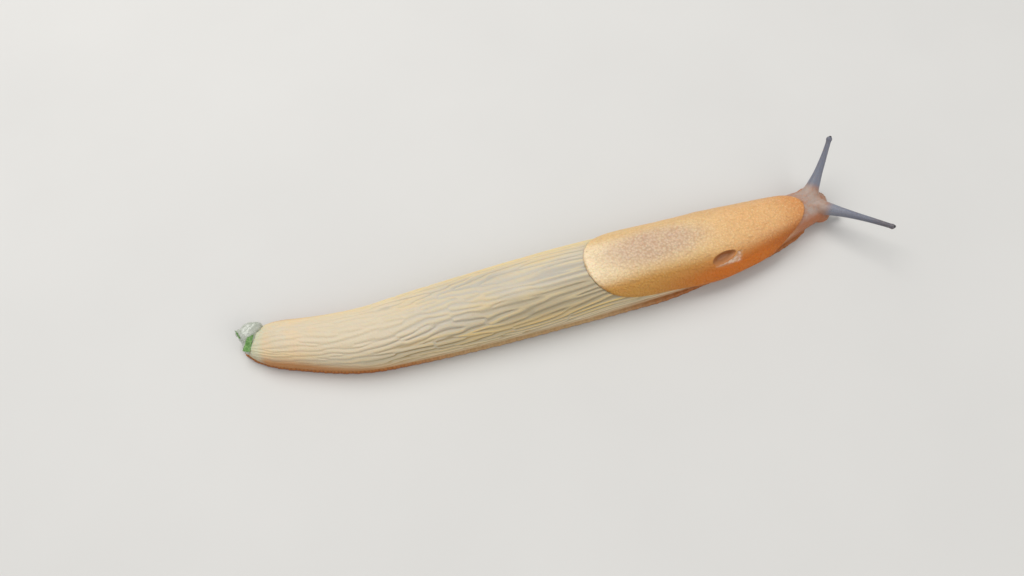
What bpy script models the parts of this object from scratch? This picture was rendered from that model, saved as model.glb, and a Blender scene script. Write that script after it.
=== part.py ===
"""Crawling arion slug, life size, as a still model: metres, +Z up, +X towards the head, origin under its middle.

The body is a tube round a gently bent midline that rests on a flat foot. Every part is a length or a patch
of that tube, so that neighbours share one surface and keep one even gap.
"""

import math
import random

import bmesh
import bpy
import numpy as np

MM = 0.001
GAP = 0.3 * MM  # kept between neighbouring parts
SMALL = 0.1 * MM  # step for slopes
SAFE_CUT = 0.34 * MM  # how far a cutter stands off the part that it stands for, facets allowed for

# Midline seen from above, along X: a slight drift, with the tail and the head both turned to the left
DRIFT = 0.015
TAIL_BEND_START = -27 * MM
TAIL_BEND_RUN = 30 * MM
TAIL_BEND = 5.8 * MM
HEAD_BEND_START = 19.6 * MM
HEAD_BEND_RATE = 3.3  # per metre

# Places along the body: X, half width of the body, height of its back, half width of the foot
PROFILE = (
    (-50 * MM, 3.15 * MM, 3.6 * MM, 3.35 * MM),  # tail end
    (-42 * MM, 3.95 * MM, 4.6 * MM, 4.10 * MM),  # tail
    (-30 * MM, 5.15 * MM, 5.8 * MM, 5.35 * MM),  # hind body
    (-14 * MM, 5.90 * MM, 6.5 * MM, 6.35 * MM),  # middle
    (4 * MM, 6.25 * MM, 6.9 * MM, 6.65 * MM),  # just behind the mantle
    (16 * MM, 5.95 * MM, 6.9 * MM, 6.75 * MM),  # mantle hump
    (28 * MM, 5.40 * MM, 6.3 * MM, 6.25 * MM),  # breathing pore
    (38 * MM, 4.20 * MM, 5.2 * MM, 4.95 * MM),  # neck
    (45 * MM, 3.15 * MM, 4.6 * MM, 3.35 * MM),  # head
    (50 * MM, 2.95 * MM, 4.2 * MM, 2.60 * MM),  # snout
)
BODY_ENDS = ((-43.0 * MM, -50.0 * MM), (46.6 * MM, 50.0 * MM))  # where each end starts to round off, and its tip
FOOT_ENDS = ((-42.0 * MM, -50.7 * MM), (42.3 * MM, 46.6 * MM))
END_POWER = 2.3  # 2 rounds an end to an ellipse, more makes it blunter
END_TURNS = (0, 20, 39, 56, 70, 82)  # degrees round an end at which it has a station
END_LEAST = 0.1  # an end stops at this share of its full size, with a small flat

# Cross-section of the body
FOOT_TOP = 1.0 * MM
BODY_FLOOR = FOOT_TOP + GAP  # the body's flat underside
BELLY_SHARE = 0.25  # where the flank is widest, as a share of the body's height
LOW_ANGLE = math.radians(-12)  # the flank's lower corner
HIGH_ANGLE = math.pi - LOW_ANGLE

# Tubercles: long low lenses in staggered rows along the back and the flanks
TUBERCLE_ROWS = 22
TUBERCLE_HEIGHT = 0.32 * MM
TUBERCLE_LENGTH = 5.5 * MM
TUBERCLE_ROUNDING = 0.5  # under 1 keeps its crest long and its two ends steep
GROOVE_DEPTH = 0.12 * MM
BODY_STEP = 1.1 * MM
COVERED_STEP = 1.8 * MM  # under the mantle
NECK_RINGS = 9
NECK_SIDES = 28
TAIL_FADE = (-48.5 * MM, -45.0 * MM)  # where they run out towards the tail's tip
COVERED_DEPTH = 0.4 * MM  # hollowed this deep for the mantle, the body has none

# Mantle: a thick shield with a free rim
MANTLE_REAR = 5.6 * MM
MANTLE_FRONT = 44.8 * MM
MANTLE_EDGE_ANGLE = math.radians(-3)  # how low its sides reach
MANTLE_REAR_POWERS = (2.9, 0.72)
MANTLE_FRONT_POWERS = (4.6, 0.70)
MANTLE_SEAT = 1.30 * MM  # how deep the body under it is hollowed
SEAT_MARGIN = 1.2 * MM  # how far outside the rim that hollow starts
SEAT_RAMP = 3.7 * MM
MANTLE_PROUD = 0.50 * MM  # how far it stands over the bare body
RIM_PROUD = 0.30 * MM
RIM_WIDTH = 0.45 * MM
RIM_SHARE = 0.2  # most of its width that the rim takes near its tips
MANTLE_TIP_TURN = math.radians(5)  # how far round its outline from its two tips it starts and stops
MANTLE_STEPS = 27
MANTLE_POINTS = 17

# Breathing pore in the right side of the mantle, with the cleft that runs from it down to the rim
PORE_X = 28.1 * MM
PORE_ANGLE = math.radians(42.5)
PORE_RADII = (2.15 * MM, 1.00 * MM, 1.05 * MM)
PORE_TILT = math.radians(10)
CLEFT_X = 30.0 * MM
CLEFT_ANGLE = math.radians(23)
CLEFT_RADII = (0.45 * MM, 2.20 * MM, 0.40 * MM)
CLEFT_TILT = math.radians(12)

# Foot: a sole in three lengths between the two fringes
EDGE_SAMPLES = 1200
FRINGE_WIDTH = 0.95 * MM
FRINGE_PITCH = 1.9 * MM  # from one upright groove to the next
FRINGE_GROOVE = 0.15 * MM
FRINGE_PROFILE = ((0.10 * MM, 0.0), (0.0, 0.45 * MM), (0.22 * MM, 0.88 * MM), (0.60 * MM, FOOT_TOP))

# Cuts across the body and across the foot
BODY_CUTS = {
    "tail": (-50 * MM, -32 * MM),
    "body_rear": (-32 * MM, -14 * MM),
    "body_middle": (-14 * MM, 5 * MM),
    "body_front": (5 * MM, 36.5 * MM),
}
NECK_CUTS = (36.5 * MM, 45.2 * MM)
FOOT_CUTS = {"rear": (-60 * MM, -20 * MM), "middle": (-20 * MM, 14 * MM), "front": (14 * MM, 60 * MM)}
SOLE_STEP = 2.5 * MM
SOLE_BLUNTING = 0.25 * MM  # cut from the sole's two tips, which leaves a short straight edge

# Head: lips round the mouth, and two pairs of tentacles
LIP_CENTRE = (47.75 * MM, 2.00 * MM, 1.55 * MM)  # X, out from the midline, Z
LIP_RADII = (1.70 * MM, 1.55 * MM, 1.05 * MM)
UPPER_LIP = (49.15 * MM, 0.0, 2.35 * MM)
UPPER_LIP_RADII = (0.95 * MM, 1.50 * MM, 0.62 * MM)
MOUTH_RADII = (0.55 * MM, 0.22 * MM, 0.80 * MM)
MOUTH_PLACE = (49.95 * MM, 0.0, 1.45 * MM)
SOCKET_RADIUS = 1.35 * MM
SOCKET_DEPTH = 0.80 * MM  # its centre, below the skin
UPPER_ROOT_X = 47.1 * MM
UPPER_ROOT_ANGLE = math.radians(62)
UPPER_TIPS = {"left": (52.0 * MM, 11.05 * MM, 8.45 * MM), "right": (55.8 * MM, -6.15 * MM, 6.1 * MM)}
UPPER_ROOT_DEPTH = 0.9 * MM
UPPER_RADII = {  # from the root to just under the eye
    "left": (1.35 * MM, 0.78 * MM, 0.57 * MM, 0.44 * MM, 0.36 * MM),
    "right": (1.25 * MM, 0.80 * MM, 0.56 * MM, 0.44 * MM, 0.36 * MM),
}
UPPER_BOWS = {"left": (0.20 * MM, 0, 0), "right": (0, 0, 0.25 * MM)}  # how far its middle arches, and which way
EYE_RADII = {"left": 0.49 * MM, "right": 0.44 * MM}
LOWER_ROOT = (48.30 * MM, 1.90 * MM, 1.70 * MM)  # X, out from the midline, Z
LOWER_TIP = (50.60 * MM, 3.10 * MM, 0.90 * MM)
LOWER_BOW = (0, 0, 0.15 * MM)
LOWER_RADII = (0.70 * MM, 0.52 * MM, 0.44 * MM, 0.42 * MM)

# Plug of slime over the gland at the tail's end
SLIME_CENTRE = (-49.0 * MM, 5.00 * MM, 2.75 * MM)
SLIME_RADII = (2.3 * MM, 2.45 * MM, 1.75 * MM)

# Colours, roughness
SKINS = {
    "body": ((0.72, 0.57, 0.33), 0.45),
    "mantle": ((0.78, 0.42, 0.12), 0.42),
    "head": ((0.50, 0.36, 0.27), 0.40),
    "tentacle": ((0.28, 0.27, 0.33), 0.35),
    "fringe": ((0.72, 0.30, 0.07), 0.45),
    "sole": ((0.70, 0.60, 0.42), 0.50),
    "eye": ((0.03, 0.03, 0.04), 0.15),
    "slime": ((0.68, 0.74, 0.60), 0.15),
}


def smooth_curve(places, values):
    """A smooth function through the values that never swings past them (monotone cubic)."""
    x = np.array(places, float)
    y = np.array(values, float)
    run = np.diff(x)
    rise = np.diff(y) / run
    slope = np.concatenate([[rise[0]], (rise[:-1] + rise[1:]) / 2, [rise[-1]]])
    slope[1:-1][rise[:-1] * rise[1:] <= 0] = 0

    def curve(at):
        at = np.clip(np.asarray(at, float), x[0], x[-1])
        i = np.clip(np.searchsorted(x, at) - 1, 0, len(run) - 1)
        t = (at - x[i]) / run[i]
        return (
            y[i] * (1 + 2 * t) * (1 - t) ** 2
            + slope[i] * run[i] * t * (1 - t) ** 2
            + y[i + 1] * t * t * (3 - 2 * t)
            + slope[i + 1] * run[i] * t * t * (t - 1)
        )

    return curve


def ramp(t):
    """0 below 0, 1 above 1, and a smooth step between."""
    t = np.clip(t, 0, 1)
    return t * t * (3 - 2 * t)


STATIONS, HALF_WIDTHS, HEIGHTS, FOOT_WIDTHS = zip(*PROFILE)
half_width = smooth_curve(STATIONS, HALF_WIDTHS)
back_height = smooth_curve(STATIONS, HEIGHTS)
foot_width = smooth_curve(STATIONS, FOOT_WIDTHS)


def midline(x):
    """Y of the midline at X."""
    tail = TAIL_BEND * ramp((TAIL_BEND_START - x) / TAIL_BEND_RUN)
    head = HEAD_BEND_RATE * np.maximum(0, x - HEAD_BEND_START) ** 2
    return DRIFT * x + tail + head


def across(x):
    """Level unit vector to the animal's left, square to the midline at X."""
    slope = (midline(x + SMALL) - midline(x - SMALL)) / (2 * SMALL)
    length = math.hypot(1, slope)
    return np.array([-slope / length, 1 / length, 0])


def end_factor(x, ends):
    """1 along the body, falling to 0 at the rounded tips."""
    share = 0.0
    for start, tip in ends:
        share = max(share, (x - start) / (tip - start))
    return max(0.0, 1 - min(1, max(0, share)) ** END_POWER) ** 0.5


def end_spaced(start, stop, step, ends):
    """X stations from start to stop, about a step apart and closer where an end rounds off."""
    stations = np.linspace(start, stop, max(2, round((stop - start) / step)) + 1)
    for begin, tip in ends:
        low, high = sorted((begin, tip))
        if low < stop and start < high:
            rounding = begin + (tip - begin) * np.sin(np.radians(END_TURNS))
            stations = np.concatenate([stations[(stations <= low) | (stations >= high)], rounding, [start, stop]])
    return np.unique(stations[(stations >= start) & (stations <= stop)].round(8))


def body_point(x, angle, out=0.0):
    """A point of the body's skin, at an angle round it from the right flank (0) over the back to the left."""
    end = end_factor(x, BODY_ENDS)
    wide = half_width(x) * end
    tall = (back_height(x) - BODY_FLOOR) * end
    belly = BELLY_SHARE * tall
    rise = tall - belly if math.sin(angle) > 0 else belly / -math.sin(LOW_ANGLE)
    normal = np.array([math.cos(angle) * rise, math.sin(angle) * wide])
    normal /= max(1e-9, np.hypot(*normal))
    side = -(wide * math.cos(angle) + out * normal[0])
    up = BODY_FLOOR + belly + rise * math.sin(angle) + out * normal[1]
    return np.array([x, midline(x), 0]) + side * across(x) + np.array([0, 0, up])


def mantle_edge(x):
    """The angle down to which the mantle covers the body at X, 90 degrees past its ends."""
    centre = (MANTLE_REAR + MANTLE_FRONT) / 2
    share = (x - centre) / ((MANTLE_FRONT - MANTLE_REAR) / 2)
    power, root = MANTLE_FRONT_POWERS if share > 0 else MANTLE_REAR_POWERS
    spread = max(0.0, 1 - abs(share) ** power) ** root
    return math.pi / 2 - (math.pi / 2 - MANTLE_EDGE_ANGLE) * spread


def inside_mantle(x, angle):
    """How far inside the mantle's rim a place lies, in metres round the body; negative outside."""
    return (abs(math.pi / 2 - mantle_edge(x)) - abs(angle - math.pi / 2)) * half_width(x)


def seat_depth(x, angle):
    """How far the body is hollowed under the mantle, as an offset of its skin."""
    if not MANTLE_REAR - 3 * SEAT_MARGIN < x < MANTLE_FRONT + SEAT_MARGIN:
        return 0.0
    fade = ramp((x - MANTLE_REAR + SEAT_MARGIN) / (2 * SEAT_MARGIN))
    fade *= ramp((MANTLE_FRONT + SEAT_MARGIN - x) / (2 * SEAT_MARGIN))
    return -MANTLE_SEAT * float(fade * ramp((inside_mantle(x, angle) + SEAT_MARGIN) / SEAT_RAMP))


def tubercle(x, row, phases, heights):
    """Height of a row's crest at X: long lenses end to end, each row shifted against the next."""
    along = x / TUBERCLE_LENGTH + phases[row]
    lens = abs(math.sin(math.pi * along)) ** TUBERCLE_ROUNDING
    tall = 0.75 + 0.5 * heights[(row * 31 + math.floor(along) * 7) % len(heights)]
    return (TUBERCLE_HEIGHT + GROOVE_DEPTH) * lens * tall - GROOVE_DEPTH


def body_ring(x, phases, heights):
    """One closed loop of the body's skin at X, with a crest on every other point."""
    count = 2 * TUBERCLE_ROWS
    points = []
    for j, angle in enumerate(np.linspace(LOW_ANGLE, HIGH_ANGLE, count + 1)):
        seat = seat_depth(x, angle)
        bare = 1 - min(1, -seat / COVERED_DEPTH)
        bare *= float(ramp((x - TAIL_FADE[0]) / (TAIL_FADE[1] - TAIL_FADE[0])))
        bare *= 1 - float(ramp((x - MANTLE_FRONT) / MM))
        if j in (0, count):
            relief = 0.0
        elif j % 2:
            relief = tubercle(x, j // 2, phases, heights)
        else:
            relief = -GROOVE_DEPTH
        points.append(body_point(x, angle, seat + bare * relief))
    return points


def material(name):
    """The part's colour and gloss."""
    made = bpy.data.materials.get(name)
    if made is None:
        colour, roughness = SKINS[name]
        made = bpy.data.materials.new(name)
        made.use_nodes = True
        shader = made.node_tree.nodes["Principled BSDF"]
        shader.inputs["Base Color"].default_value = (*colour, 1)
        shader.inputs["Roughness"].default_value = roughness
        shader.inputs["Metallic"].default_value = 0.0
    return made


def new_object(name, mesh, skin):
    """A smooth-shaded object in the scene."""
    mesh.shade_smooth()
    mesh.set_sharp_from_angle(angle=math.radians(50))
    obj = bpy.data.objects.new(name, mesh)
    obj.data.materials.append(material(skin))
    bpy.context.scene.collection.objects.link(obj)
    return obj


def loft(name, rings, skin):
    """A closed solid through a row of rings, each a loop of as many points, with flat ends."""
    bm = bmesh.new()
    loops = [[bm.verts.new(p) for p in ring] for ring in rings]
    for first, second in zip(loops, loops[1:]):
        for j in range(len(first)):
            k = (j + 1) % len(first)
            bm.faces.new((first[j], first[k], second[k], second[j]))
    bm.faces.new(loops[0])
    bm.faces.new(loops[-1])
    bmesh.ops.recalc_face_normals(bm, faces=bm.faces)
    mesh = bpy.data.meshes.new(name)
    bm.to_mesh(mesh)
    bm.free()
    return new_object(name, mesh, skin)


def ball(name, centre, radii, skin, axes=None, segments=20):
    """An ellipsoid with its radii along the given axes."""
    bm = bmesh.new()
    bmesh.ops.create_uvsphere(bm, u_segments=segments, v_segments=segments // 2, radius=1.0)
    frame = np.eye(3) if axes is None else np.array(axes)
    for v in bm.verts:
        v.co = np.array(centre) + frame.T @ (np.array(v.co) * np.array(radii))
    bmesh.ops.recalc_face_normals(bm, faces=bm.faces)
    mesh = bpy.data.meshes.new(name)
    bm.to_mesh(mesh)
    bm.free()
    return new_object(name, mesh, skin)


def largest_shell(obj):
    """Keeps the biggest closed surface of a mesh, and drops loose scraps."""
    bm = bmesh.new()
    bm.from_mesh(obj.data)
    left = set(bm.faces)
    shells = []
    while left:
        shell = {left.pop()}
        front = list(shell)
        while front:
            near = {f for e in front.pop().edges for f in e.link_faces} & left
            left -= near
            shell |= near
            front += near
        shells.append(shell)
    keep = max(shells, key=lambda s: sum(f.calc_area() for f in s))
    bmesh.ops.delete(bm, geom=[f for s in shells if s is not keep for f in s], context="FACES")
    bmesh.ops.delete(bm, geom=[v for v in bm.verts if not v.link_faces], context="VERTS")
    bm.to_mesh(obj.data)
    bm.free()


def combine(target, others, operation):
    """Joins others to the target, or cuts them from it, and removes them."""
    group = bpy.data.collections.new("pieces")
    for other in others:
        bpy.context.scene.collection.objects.unlink(other)
        group.objects.link(other)
    modifier = target.modifiers.new("combine", "BOOLEAN")
    modifier.operation = operation
    modifier.solver = "EXACT"
    modifier.operand_type = "COLLECTION"
    modifier.collection = group
    bpy.context.scene.collection.children.link(group)
    bpy.context.view_layer.update()
    made = bpy.data.meshes.new_from_object(target.evaluated_get(bpy.context.evaluated_depsgraph_get()))
    target.modifiers.clear()
    target.data = made
    for other in others:
        bpy.data.objects.remove(other)
    bpy.data.collections.remove(group)
    largest_shell(target)


def body_lengths():
    """The body behind the neck: tail, rear, middle and the length under the mantle."""
    rng = random.Random(7)
    phases = [(row % 2) / 2 + 0.3 * rng.random() for row in range(TUBERCLE_ROWS)]
    heights = [rng.random() for _ in range(61)]
    for name, (start, stop) in BODY_CUTS.items():
        step = COVERED_STEP if name == "body_front" else BODY_STEP
        stations = end_spaced(start + GAP / 2, stop - GAP / 2, step, BODY_ENDS)
        rings = [body_ring(x, phases, heights) for x in stations if end_factor(x, BODY_ENDS) > END_LEAST]
        loft(name, rings, "body")


def plain_ring(x, out=0.0):
    """One closed loop of smooth skin at X, for the neck and the head."""
    angles = np.linspace(LOW_ANGLE, HIGH_ANGLE, NECK_SIDES + 1)
    return [body_point(x, angle, seat_depth(x, angle) + out) for angle in angles]


def neck():
    """The length between the mantle's front and the head."""
    start, stop = NECK_CUTS
    loft("neck", [plain_ring(x) for x in np.linspace(start + GAP / 2, stop - GAP / 2, NECK_RINGS)], "head")


def head_shell(name, out=0.0):
    """The head's rounded snout, or a cutter that stands off it."""
    start = NECK_CUTS[1] + GAP / 2
    stations = end_spaced(start, BODY_ENDS[1][1], 0.6 * MM, BODY_ENDS)
    rings = [plain_ring(x, out) for x in stations if end_factor(x, BODY_ENDS) > END_LEAST]
    return loft(name, rings, "head")


def beside(x, side, z):
    """A point at X, out from the midline to the left, at a height."""
    return np.array([x, midline(x), z]) + side * across(x)


def flank_angle(sign, angle):
    """The same angle up the left flank (sign 1) or the right flank (sign -1)."""
    return math.pi / 2 + sign * (math.pi / 2 - angle)


def swellings(out):
    """The lips and the swelling under each upper tentacle, made larger all round by out."""
    upper = [r + out for r in UPPER_LIP_RADII]
    made = [ball("upper_lip", beside(*UPPER_LIP), upper, "head", segments=14)]
    for sign in (1, -1):
        x, side, z = LIP_CENTRE
        made.append(ball("lip", beside(x, sign * side, z), [r + out for r in LIP_RADII], "head", segments=14))
        centre = body_point(UPPER_ROOT_X, flank_angle(sign, UPPER_ROOT_ANGLE), -SOCKET_DEPTH)
        made.append(ball("socket", centre, (SOCKET_RADIUS + out,) * 3, "head", segments=14))
    return made


def head():
    """Snout with its lips, the slit of the mouth, and a swelling under each upper tentacle."""
    made = head_shell("head")
    combine(made, swellings(0.0), "UNION")
    combine(made, [ball("mouth", beside(*MOUTH_PLACE), MOUTH_RADII, "head")], "DIFFERENCE")
    return made


def tube(name, path, radii, skin, sides=12):
    """A tapered tube along a path of points, with flat ends."""
    path = np.array(path)
    along = np.gradient(path, axis=0)
    rings = []
    for point, direction, radius in zip(path, along, radii):
        direction = direction / np.linalg.norm(direction)
        left = np.cross([0, 0, 1], direction)
        left /= np.linalg.norm(left)
        top = np.cross(direction, left)
        angles = np.arange(sides) * 2 * math.pi / sides
        rings.append([point + radius * (math.cos(a) * left + math.sin(a) * top) for a in angles])
    return loft(name, rings, skin)


def tentacle_path(root, tip, bow, steps):
    """Points from root to tip, moved out in the middle by the bow."""
    share = np.linspace(0, 1, steps)[:, None]
    return np.array(root) * (1 - share) + np.array(tip) * share + np.array(bow) * 4 * share * (1 - share)


def head_cutters():
    """Solids a little larger than the head, which trim what grows from it to meet it face to face."""
    return [head_shell("cut_head", SAFE_CUT)] + swellings(SAFE_CUT)


def upper_tentacle(side, sign):
    """One eye stalk and the round knob that carries its eye."""
    root = body_point(UPPER_ROOT_X, flank_angle(sign, UPPER_ROOT_ANGLE), -UPPER_ROOT_DEPTH)
    tip = np.array(UPPER_TIPS[side])
    path = tentacle_path(root, tip, UPPER_BOWS[side], 13)
    end = (path[-1] - path[-2]) / np.linalg.norm(path[-1] - path[-2])
    path[-1] = tip - end * (EYE_RADII[side] + GAP)
    radius = smooth_curve(np.linspace(0, 1, len(UPPER_RADII[side])), UPPER_RADII[side])
    stalk = tube("tentacle_upper_" + side, path, radius(np.linspace(0, 1, len(path))), "tentacle")
    combine(stalk, head_cutters(), "DIFFERENCE")
    ball("eye_" + side, tip, (EYE_RADII[side],) * 3, "eye", segments=16)


def lower_tentacle(side, sign):
    """One short feeler beside the mouth, with a blunt end."""
    ends = [beside(x, sign * out, z) for x, out, z in (LOWER_ROOT, LOWER_TIP)]
    path = tentacle_path(*ends, LOWER_BOW, 8)
    radius = smooth_curve(np.linspace(0, 1, len(LOWER_RADII)), LOWER_RADII)
    feeler = tube("tentacle_lower_" + side, path, radius(np.linspace(0, 1, len(path))), "tentacle", sides=10)
    combine(feeler, head_cutters(), "DIFFERENCE")


def mantle_ring(x):
    """One closed loop of the mantle at X: its outer face, then its inner face back."""
    edge = mantle_edge(x)
    shares = np.linspace(0, 1, MANTLE_POINTS - 2)
    rim = min(RIM_SHARE, RIM_WIDTH / half_width(x) / (math.pi - 2 * edge))
    shares = np.concatenate([[0], rim + (1 - 2 * rim) * shares, [1]])
    angles = edge + (math.pi - 2 * edge) * shares
    outer = []
    inner = []
    for j, angle in enumerate(angles):
        proud = RIM_PROUD if j in (0, len(angles) - 1) else MANTLE_PROUD
        outer.append(body_point(x, angle, proud))
        inner.append(body_point(x, angle, seat_depth(x, angle) + GAP))
    return outer + inner[::-1]


def skin_axes(x, angle, tilt):
    """Unit vectors at a place on the skin: along the body, up round the flank, and outwards, turned by a tilt."""
    here = body_point(x, angle)
    along = body_point(x + SMALL, angle) - here
    upwards = body_point(x, angle + SMALL / half_width(x)) - here
    along /= np.linalg.norm(along)
    outwards = np.cross(along, upwards)
    outwards /= np.linalg.norm(outwards)
    upwards = np.cross(outwards, along)
    turned = math.cos(tilt) * along + math.sin(tilt) * upwards
    return np.array([turned, np.cross(outwards, turned), outwards])


def mantle():
    """The shield over the front of the back, with the breathing pore cut into its right side."""
    half = (MANTLE_FRONT - MANTLE_REAR) / 2
    turns = np.linspace(MANTLE_TIP_TURN, math.pi - MANTLE_TIP_TURN, MANTLE_STEPS)
    stations = (MANTLE_FRONT + MANTLE_REAR) / 2 - half * np.cos(turns)
    made = loft("mantle", [mantle_ring(x) for x in stations], "mantle")
    pore = ball(
        "pore",
        body_point(PORE_X, PORE_ANGLE, MANTLE_PROUD),
        PORE_RADII,
        "mantle",
        skin_axes(PORE_X, PORE_ANGLE, PORE_TILT),
        segments=24,
    )
    cleft = ball(
        "cleft",
        body_point(CLEFT_X, CLEFT_ANGLE, MANTLE_PROUD),
        CLEFT_RADII,
        "mantle",
        skin_axes(CLEFT_X, CLEFT_ANGLE, CLEFT_TILT),
        segments=16,
    )
    combine(made, [pore], "DIFFERENCE")
    combine(made, [cleft], "DIFFERENCE")


def foot_outline():
    """Stations from the foot's front to its tail, close together at both ends, and half its width at each."""
    (tail_start, tail_tip), (head_start, head_tip) = FOOT_ENDS
    quarter = np.linspace(0, math.pi / 2, EDGE_SAMPLES // 6)
    front = head_start + (head_tip - head_start) * np.cos(quarter)
    rear = tail_start + (tail_tip - tail_start) * np.sin(quarter)
    middle = np.linspace(head_start, tail_start, EDGE_SAMPLES)[1:-1]
    stations = np.concatenate([front, middle, rear])
    out = np.array([foot_width(x) * end_factor(x, FOOT_ENDS) for x in stations])
    return stations, out


def foot_edge(sign, inset):
    """Points of one side's edge, moved in by the inset, with the length along the edge."""
    stations, out = foot_outline()
    edge = np.array([[x, midline(x), 0] + sign * w * across(x) for x, w in zip(stations, out)])
    along = np.gradient(edge, axis=0)
    normal = np.stack([-along[:, 1], along[:, 0], 0 * along[:, 0]], axis=1) * sign
    normal /= np.linalg.norm(normal, axis=1)[:, None]
    moved = edge + normal * inset
    length = np.concatenate([[0], np.cumsum(np.linalg.norm(np.diff(edge, axis=0), axis=1))])
    return moved, normal, length


def fringe(side, sign, place, limits):
    """One length of the foot's fringe, its outer face scored by upright grooves."""
    edge, inward, length = foot_edge(sign, 0.0)
    own = (edge[:, 0] > limits[0] + GAP / 2) & (edge[:, 0] < limits[1] - GAP / 2)
    own &= np.abs(edge[:, 1] - midline(edge[:, 0])) > GAP
    start, stop = length[own][[0, -1]]
    half_pitches = 2 * round((stop - start) / FRINGE_PITCH)
    rings = []
    for i in range(half_pitches + 1):
        at = start + (stop - start) * i / half_pitches
        point = np.array([np.interp(at, length, edge[:, k]) for k in range(3)])
        inside = np.array([np.interp(at, length, inward[:, k]) for k in range(3)])
        groove = FRINGE_GROOVE if i % 2 else 0.0
        ring = [point + inside * (inset + groove) + [0, 0, z] for inset, z in FRINGE_PROFILE]
        ring += [point + inside * FRINGE_WIDTH + [0, 0, z] for z in (FOOT_TOP, 0.0)]
        rings.append(ring)
    loft(f"fringe_{side}_{place}", rings, "fringe")


def sole(place, limits):
    """One length of the sole, flat below."""
    inset = FRINGE_WIDTH + GAP
    left, _, _ = foot_edge(1, inset)
    right, _, _ = foot_edge(-1, inset)
    start = max(limits[0] + GAP / 2, left[:, 0].min() + SOLE_BLUNTING)
    stop = min(limits[1] - GAP / 2, left[:, 0].max() - SOLE_BLUNTING)
    rings = []
    for x in end_spaced(start, stop, SOLE_STEP, FOOT_ENDS):
        y_left = np.interp(-x, -left[:, 0], left[:, 1])
        y_right = np.interp(-x, -right[:, 0], right[:, 1])
        rings.append([[x, y_right, 0], [x, y_left, 0], [x, y_left, FOOT_TOP], [x, y_right, FOOT_TOP]])
    loft("sole_" + place, rings, "sole")


def tail_slime():
    """The plug of slime, trimmed to the tail and held above the foot."""
    made = ball("tail_slime", SLIME_CENTRE, SLIME_RADII, "slime", segments=18)
    stations = end_spaced(BODY_ENDS[0][1], BODY_ENDS[0][0] + 3 * MM, BODY_STEP, BODY_ENDS)
    rings = [plain_ring(x, SAFE_CUT) for x in stations if end_factor(x, BODY_ENDS) > END_LEAST]
    below = FOOT_TOP + GAP
    corners = [(-60 * MM, -10 * MM), (-60 * MM, 20 * MM), (-40 * MM, 20 * MM), (-40 * MM, -10 * MM)]
    slab = loft("cut_floor", [[(x, y, z) for x, y in corners] for z in (-5 * MM, below)], "slime")
    combine(made, [loft("cut_tail", rings, "slime")], "DIFFERENCE")
    combine(made, [slab], "DIFFERENCE")


def main():
    for obj in list(bpy.data.objects):
        bpy.data.objects.remove(obj)
    body_lengths()
    neck()
    head()
    mantle()
    for side, sign in (("left", 1), ("right", -1)):
        upper_tentacle(side, sign)
        lower_tentacle(side, sign)
        for place, limits in FOOT_CUTS.items():
            fringe(side, sign, place, limits)
    for place, limits in FOOT_CUTS.items():
        sole(place, limits)
    tail_slime()


main()
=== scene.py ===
"""Crawling arion slug, life size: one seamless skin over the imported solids, its eyes and its plug of slime.

Lengths and places inside the classes are in millimetres, with +X towards the head, +Y to the slug's left and
+Z up. They become metres when a mesh is made. A station is an X along the body's midline.
"""

from __future__ import annotations

import logging
import math
from dataclasses import dataclass
from enum import Enum
from itertools import product

import bpy
import numpy as np
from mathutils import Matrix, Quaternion, Vector


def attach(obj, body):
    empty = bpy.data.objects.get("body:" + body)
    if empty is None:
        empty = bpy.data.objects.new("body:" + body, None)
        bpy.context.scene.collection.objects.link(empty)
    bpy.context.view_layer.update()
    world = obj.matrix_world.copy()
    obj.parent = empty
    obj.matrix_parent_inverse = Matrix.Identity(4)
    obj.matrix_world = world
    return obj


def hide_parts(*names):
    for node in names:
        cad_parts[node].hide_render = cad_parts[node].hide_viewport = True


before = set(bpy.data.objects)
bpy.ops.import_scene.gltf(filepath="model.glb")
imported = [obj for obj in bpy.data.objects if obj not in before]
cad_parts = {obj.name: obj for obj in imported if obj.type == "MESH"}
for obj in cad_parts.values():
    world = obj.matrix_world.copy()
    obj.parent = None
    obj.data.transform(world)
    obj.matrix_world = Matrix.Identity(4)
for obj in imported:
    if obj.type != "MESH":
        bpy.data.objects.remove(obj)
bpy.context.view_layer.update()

MM = 0.001
QUARTER = math.pi / 2
BACK_RADIUS = 6.0  # turns an angle round the back into millimetres, near enough
LOG = logging.getLogger("arion_slug")

Array = np.ndarray
Colour = tuple[float, float, float]
Place = tuple[float, float, float]


class Side(Enum):
    """Which side of the slug a piece grows on; the value is the sign of Y."""

    LEFT = 1
    RIGHT = -1


def ramp(share: Array | float) -> Array:
    """0 below 0, 1 above 1, and a smooth step between."""
    share = np.clip(share, 0, 1)
    return share * share * (3 - 2 * share)


def hump(distance: Array, width: float) -> Array:
    """1 at a distance of 0, falling off softly on both sides over a width."""
    return np.exp(-((distance / width) ** 2))


def unit(vectors: Array) -> Array:
    """The vectors at a length of 1."""
    return vectors / np.linalg.norm(vectors, axis=-1, keepdims=True)


def paint(red: int, green: int, blue: int) -> Colour:
    """A colour mixed on a screen, 0 to 255, as the shader's linear light."""
    return tuple(((c / 255 + 0.055) / 1.055) ** 2.4 if c > 10 else c / 3294 for c in (red, green, blue))


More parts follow.
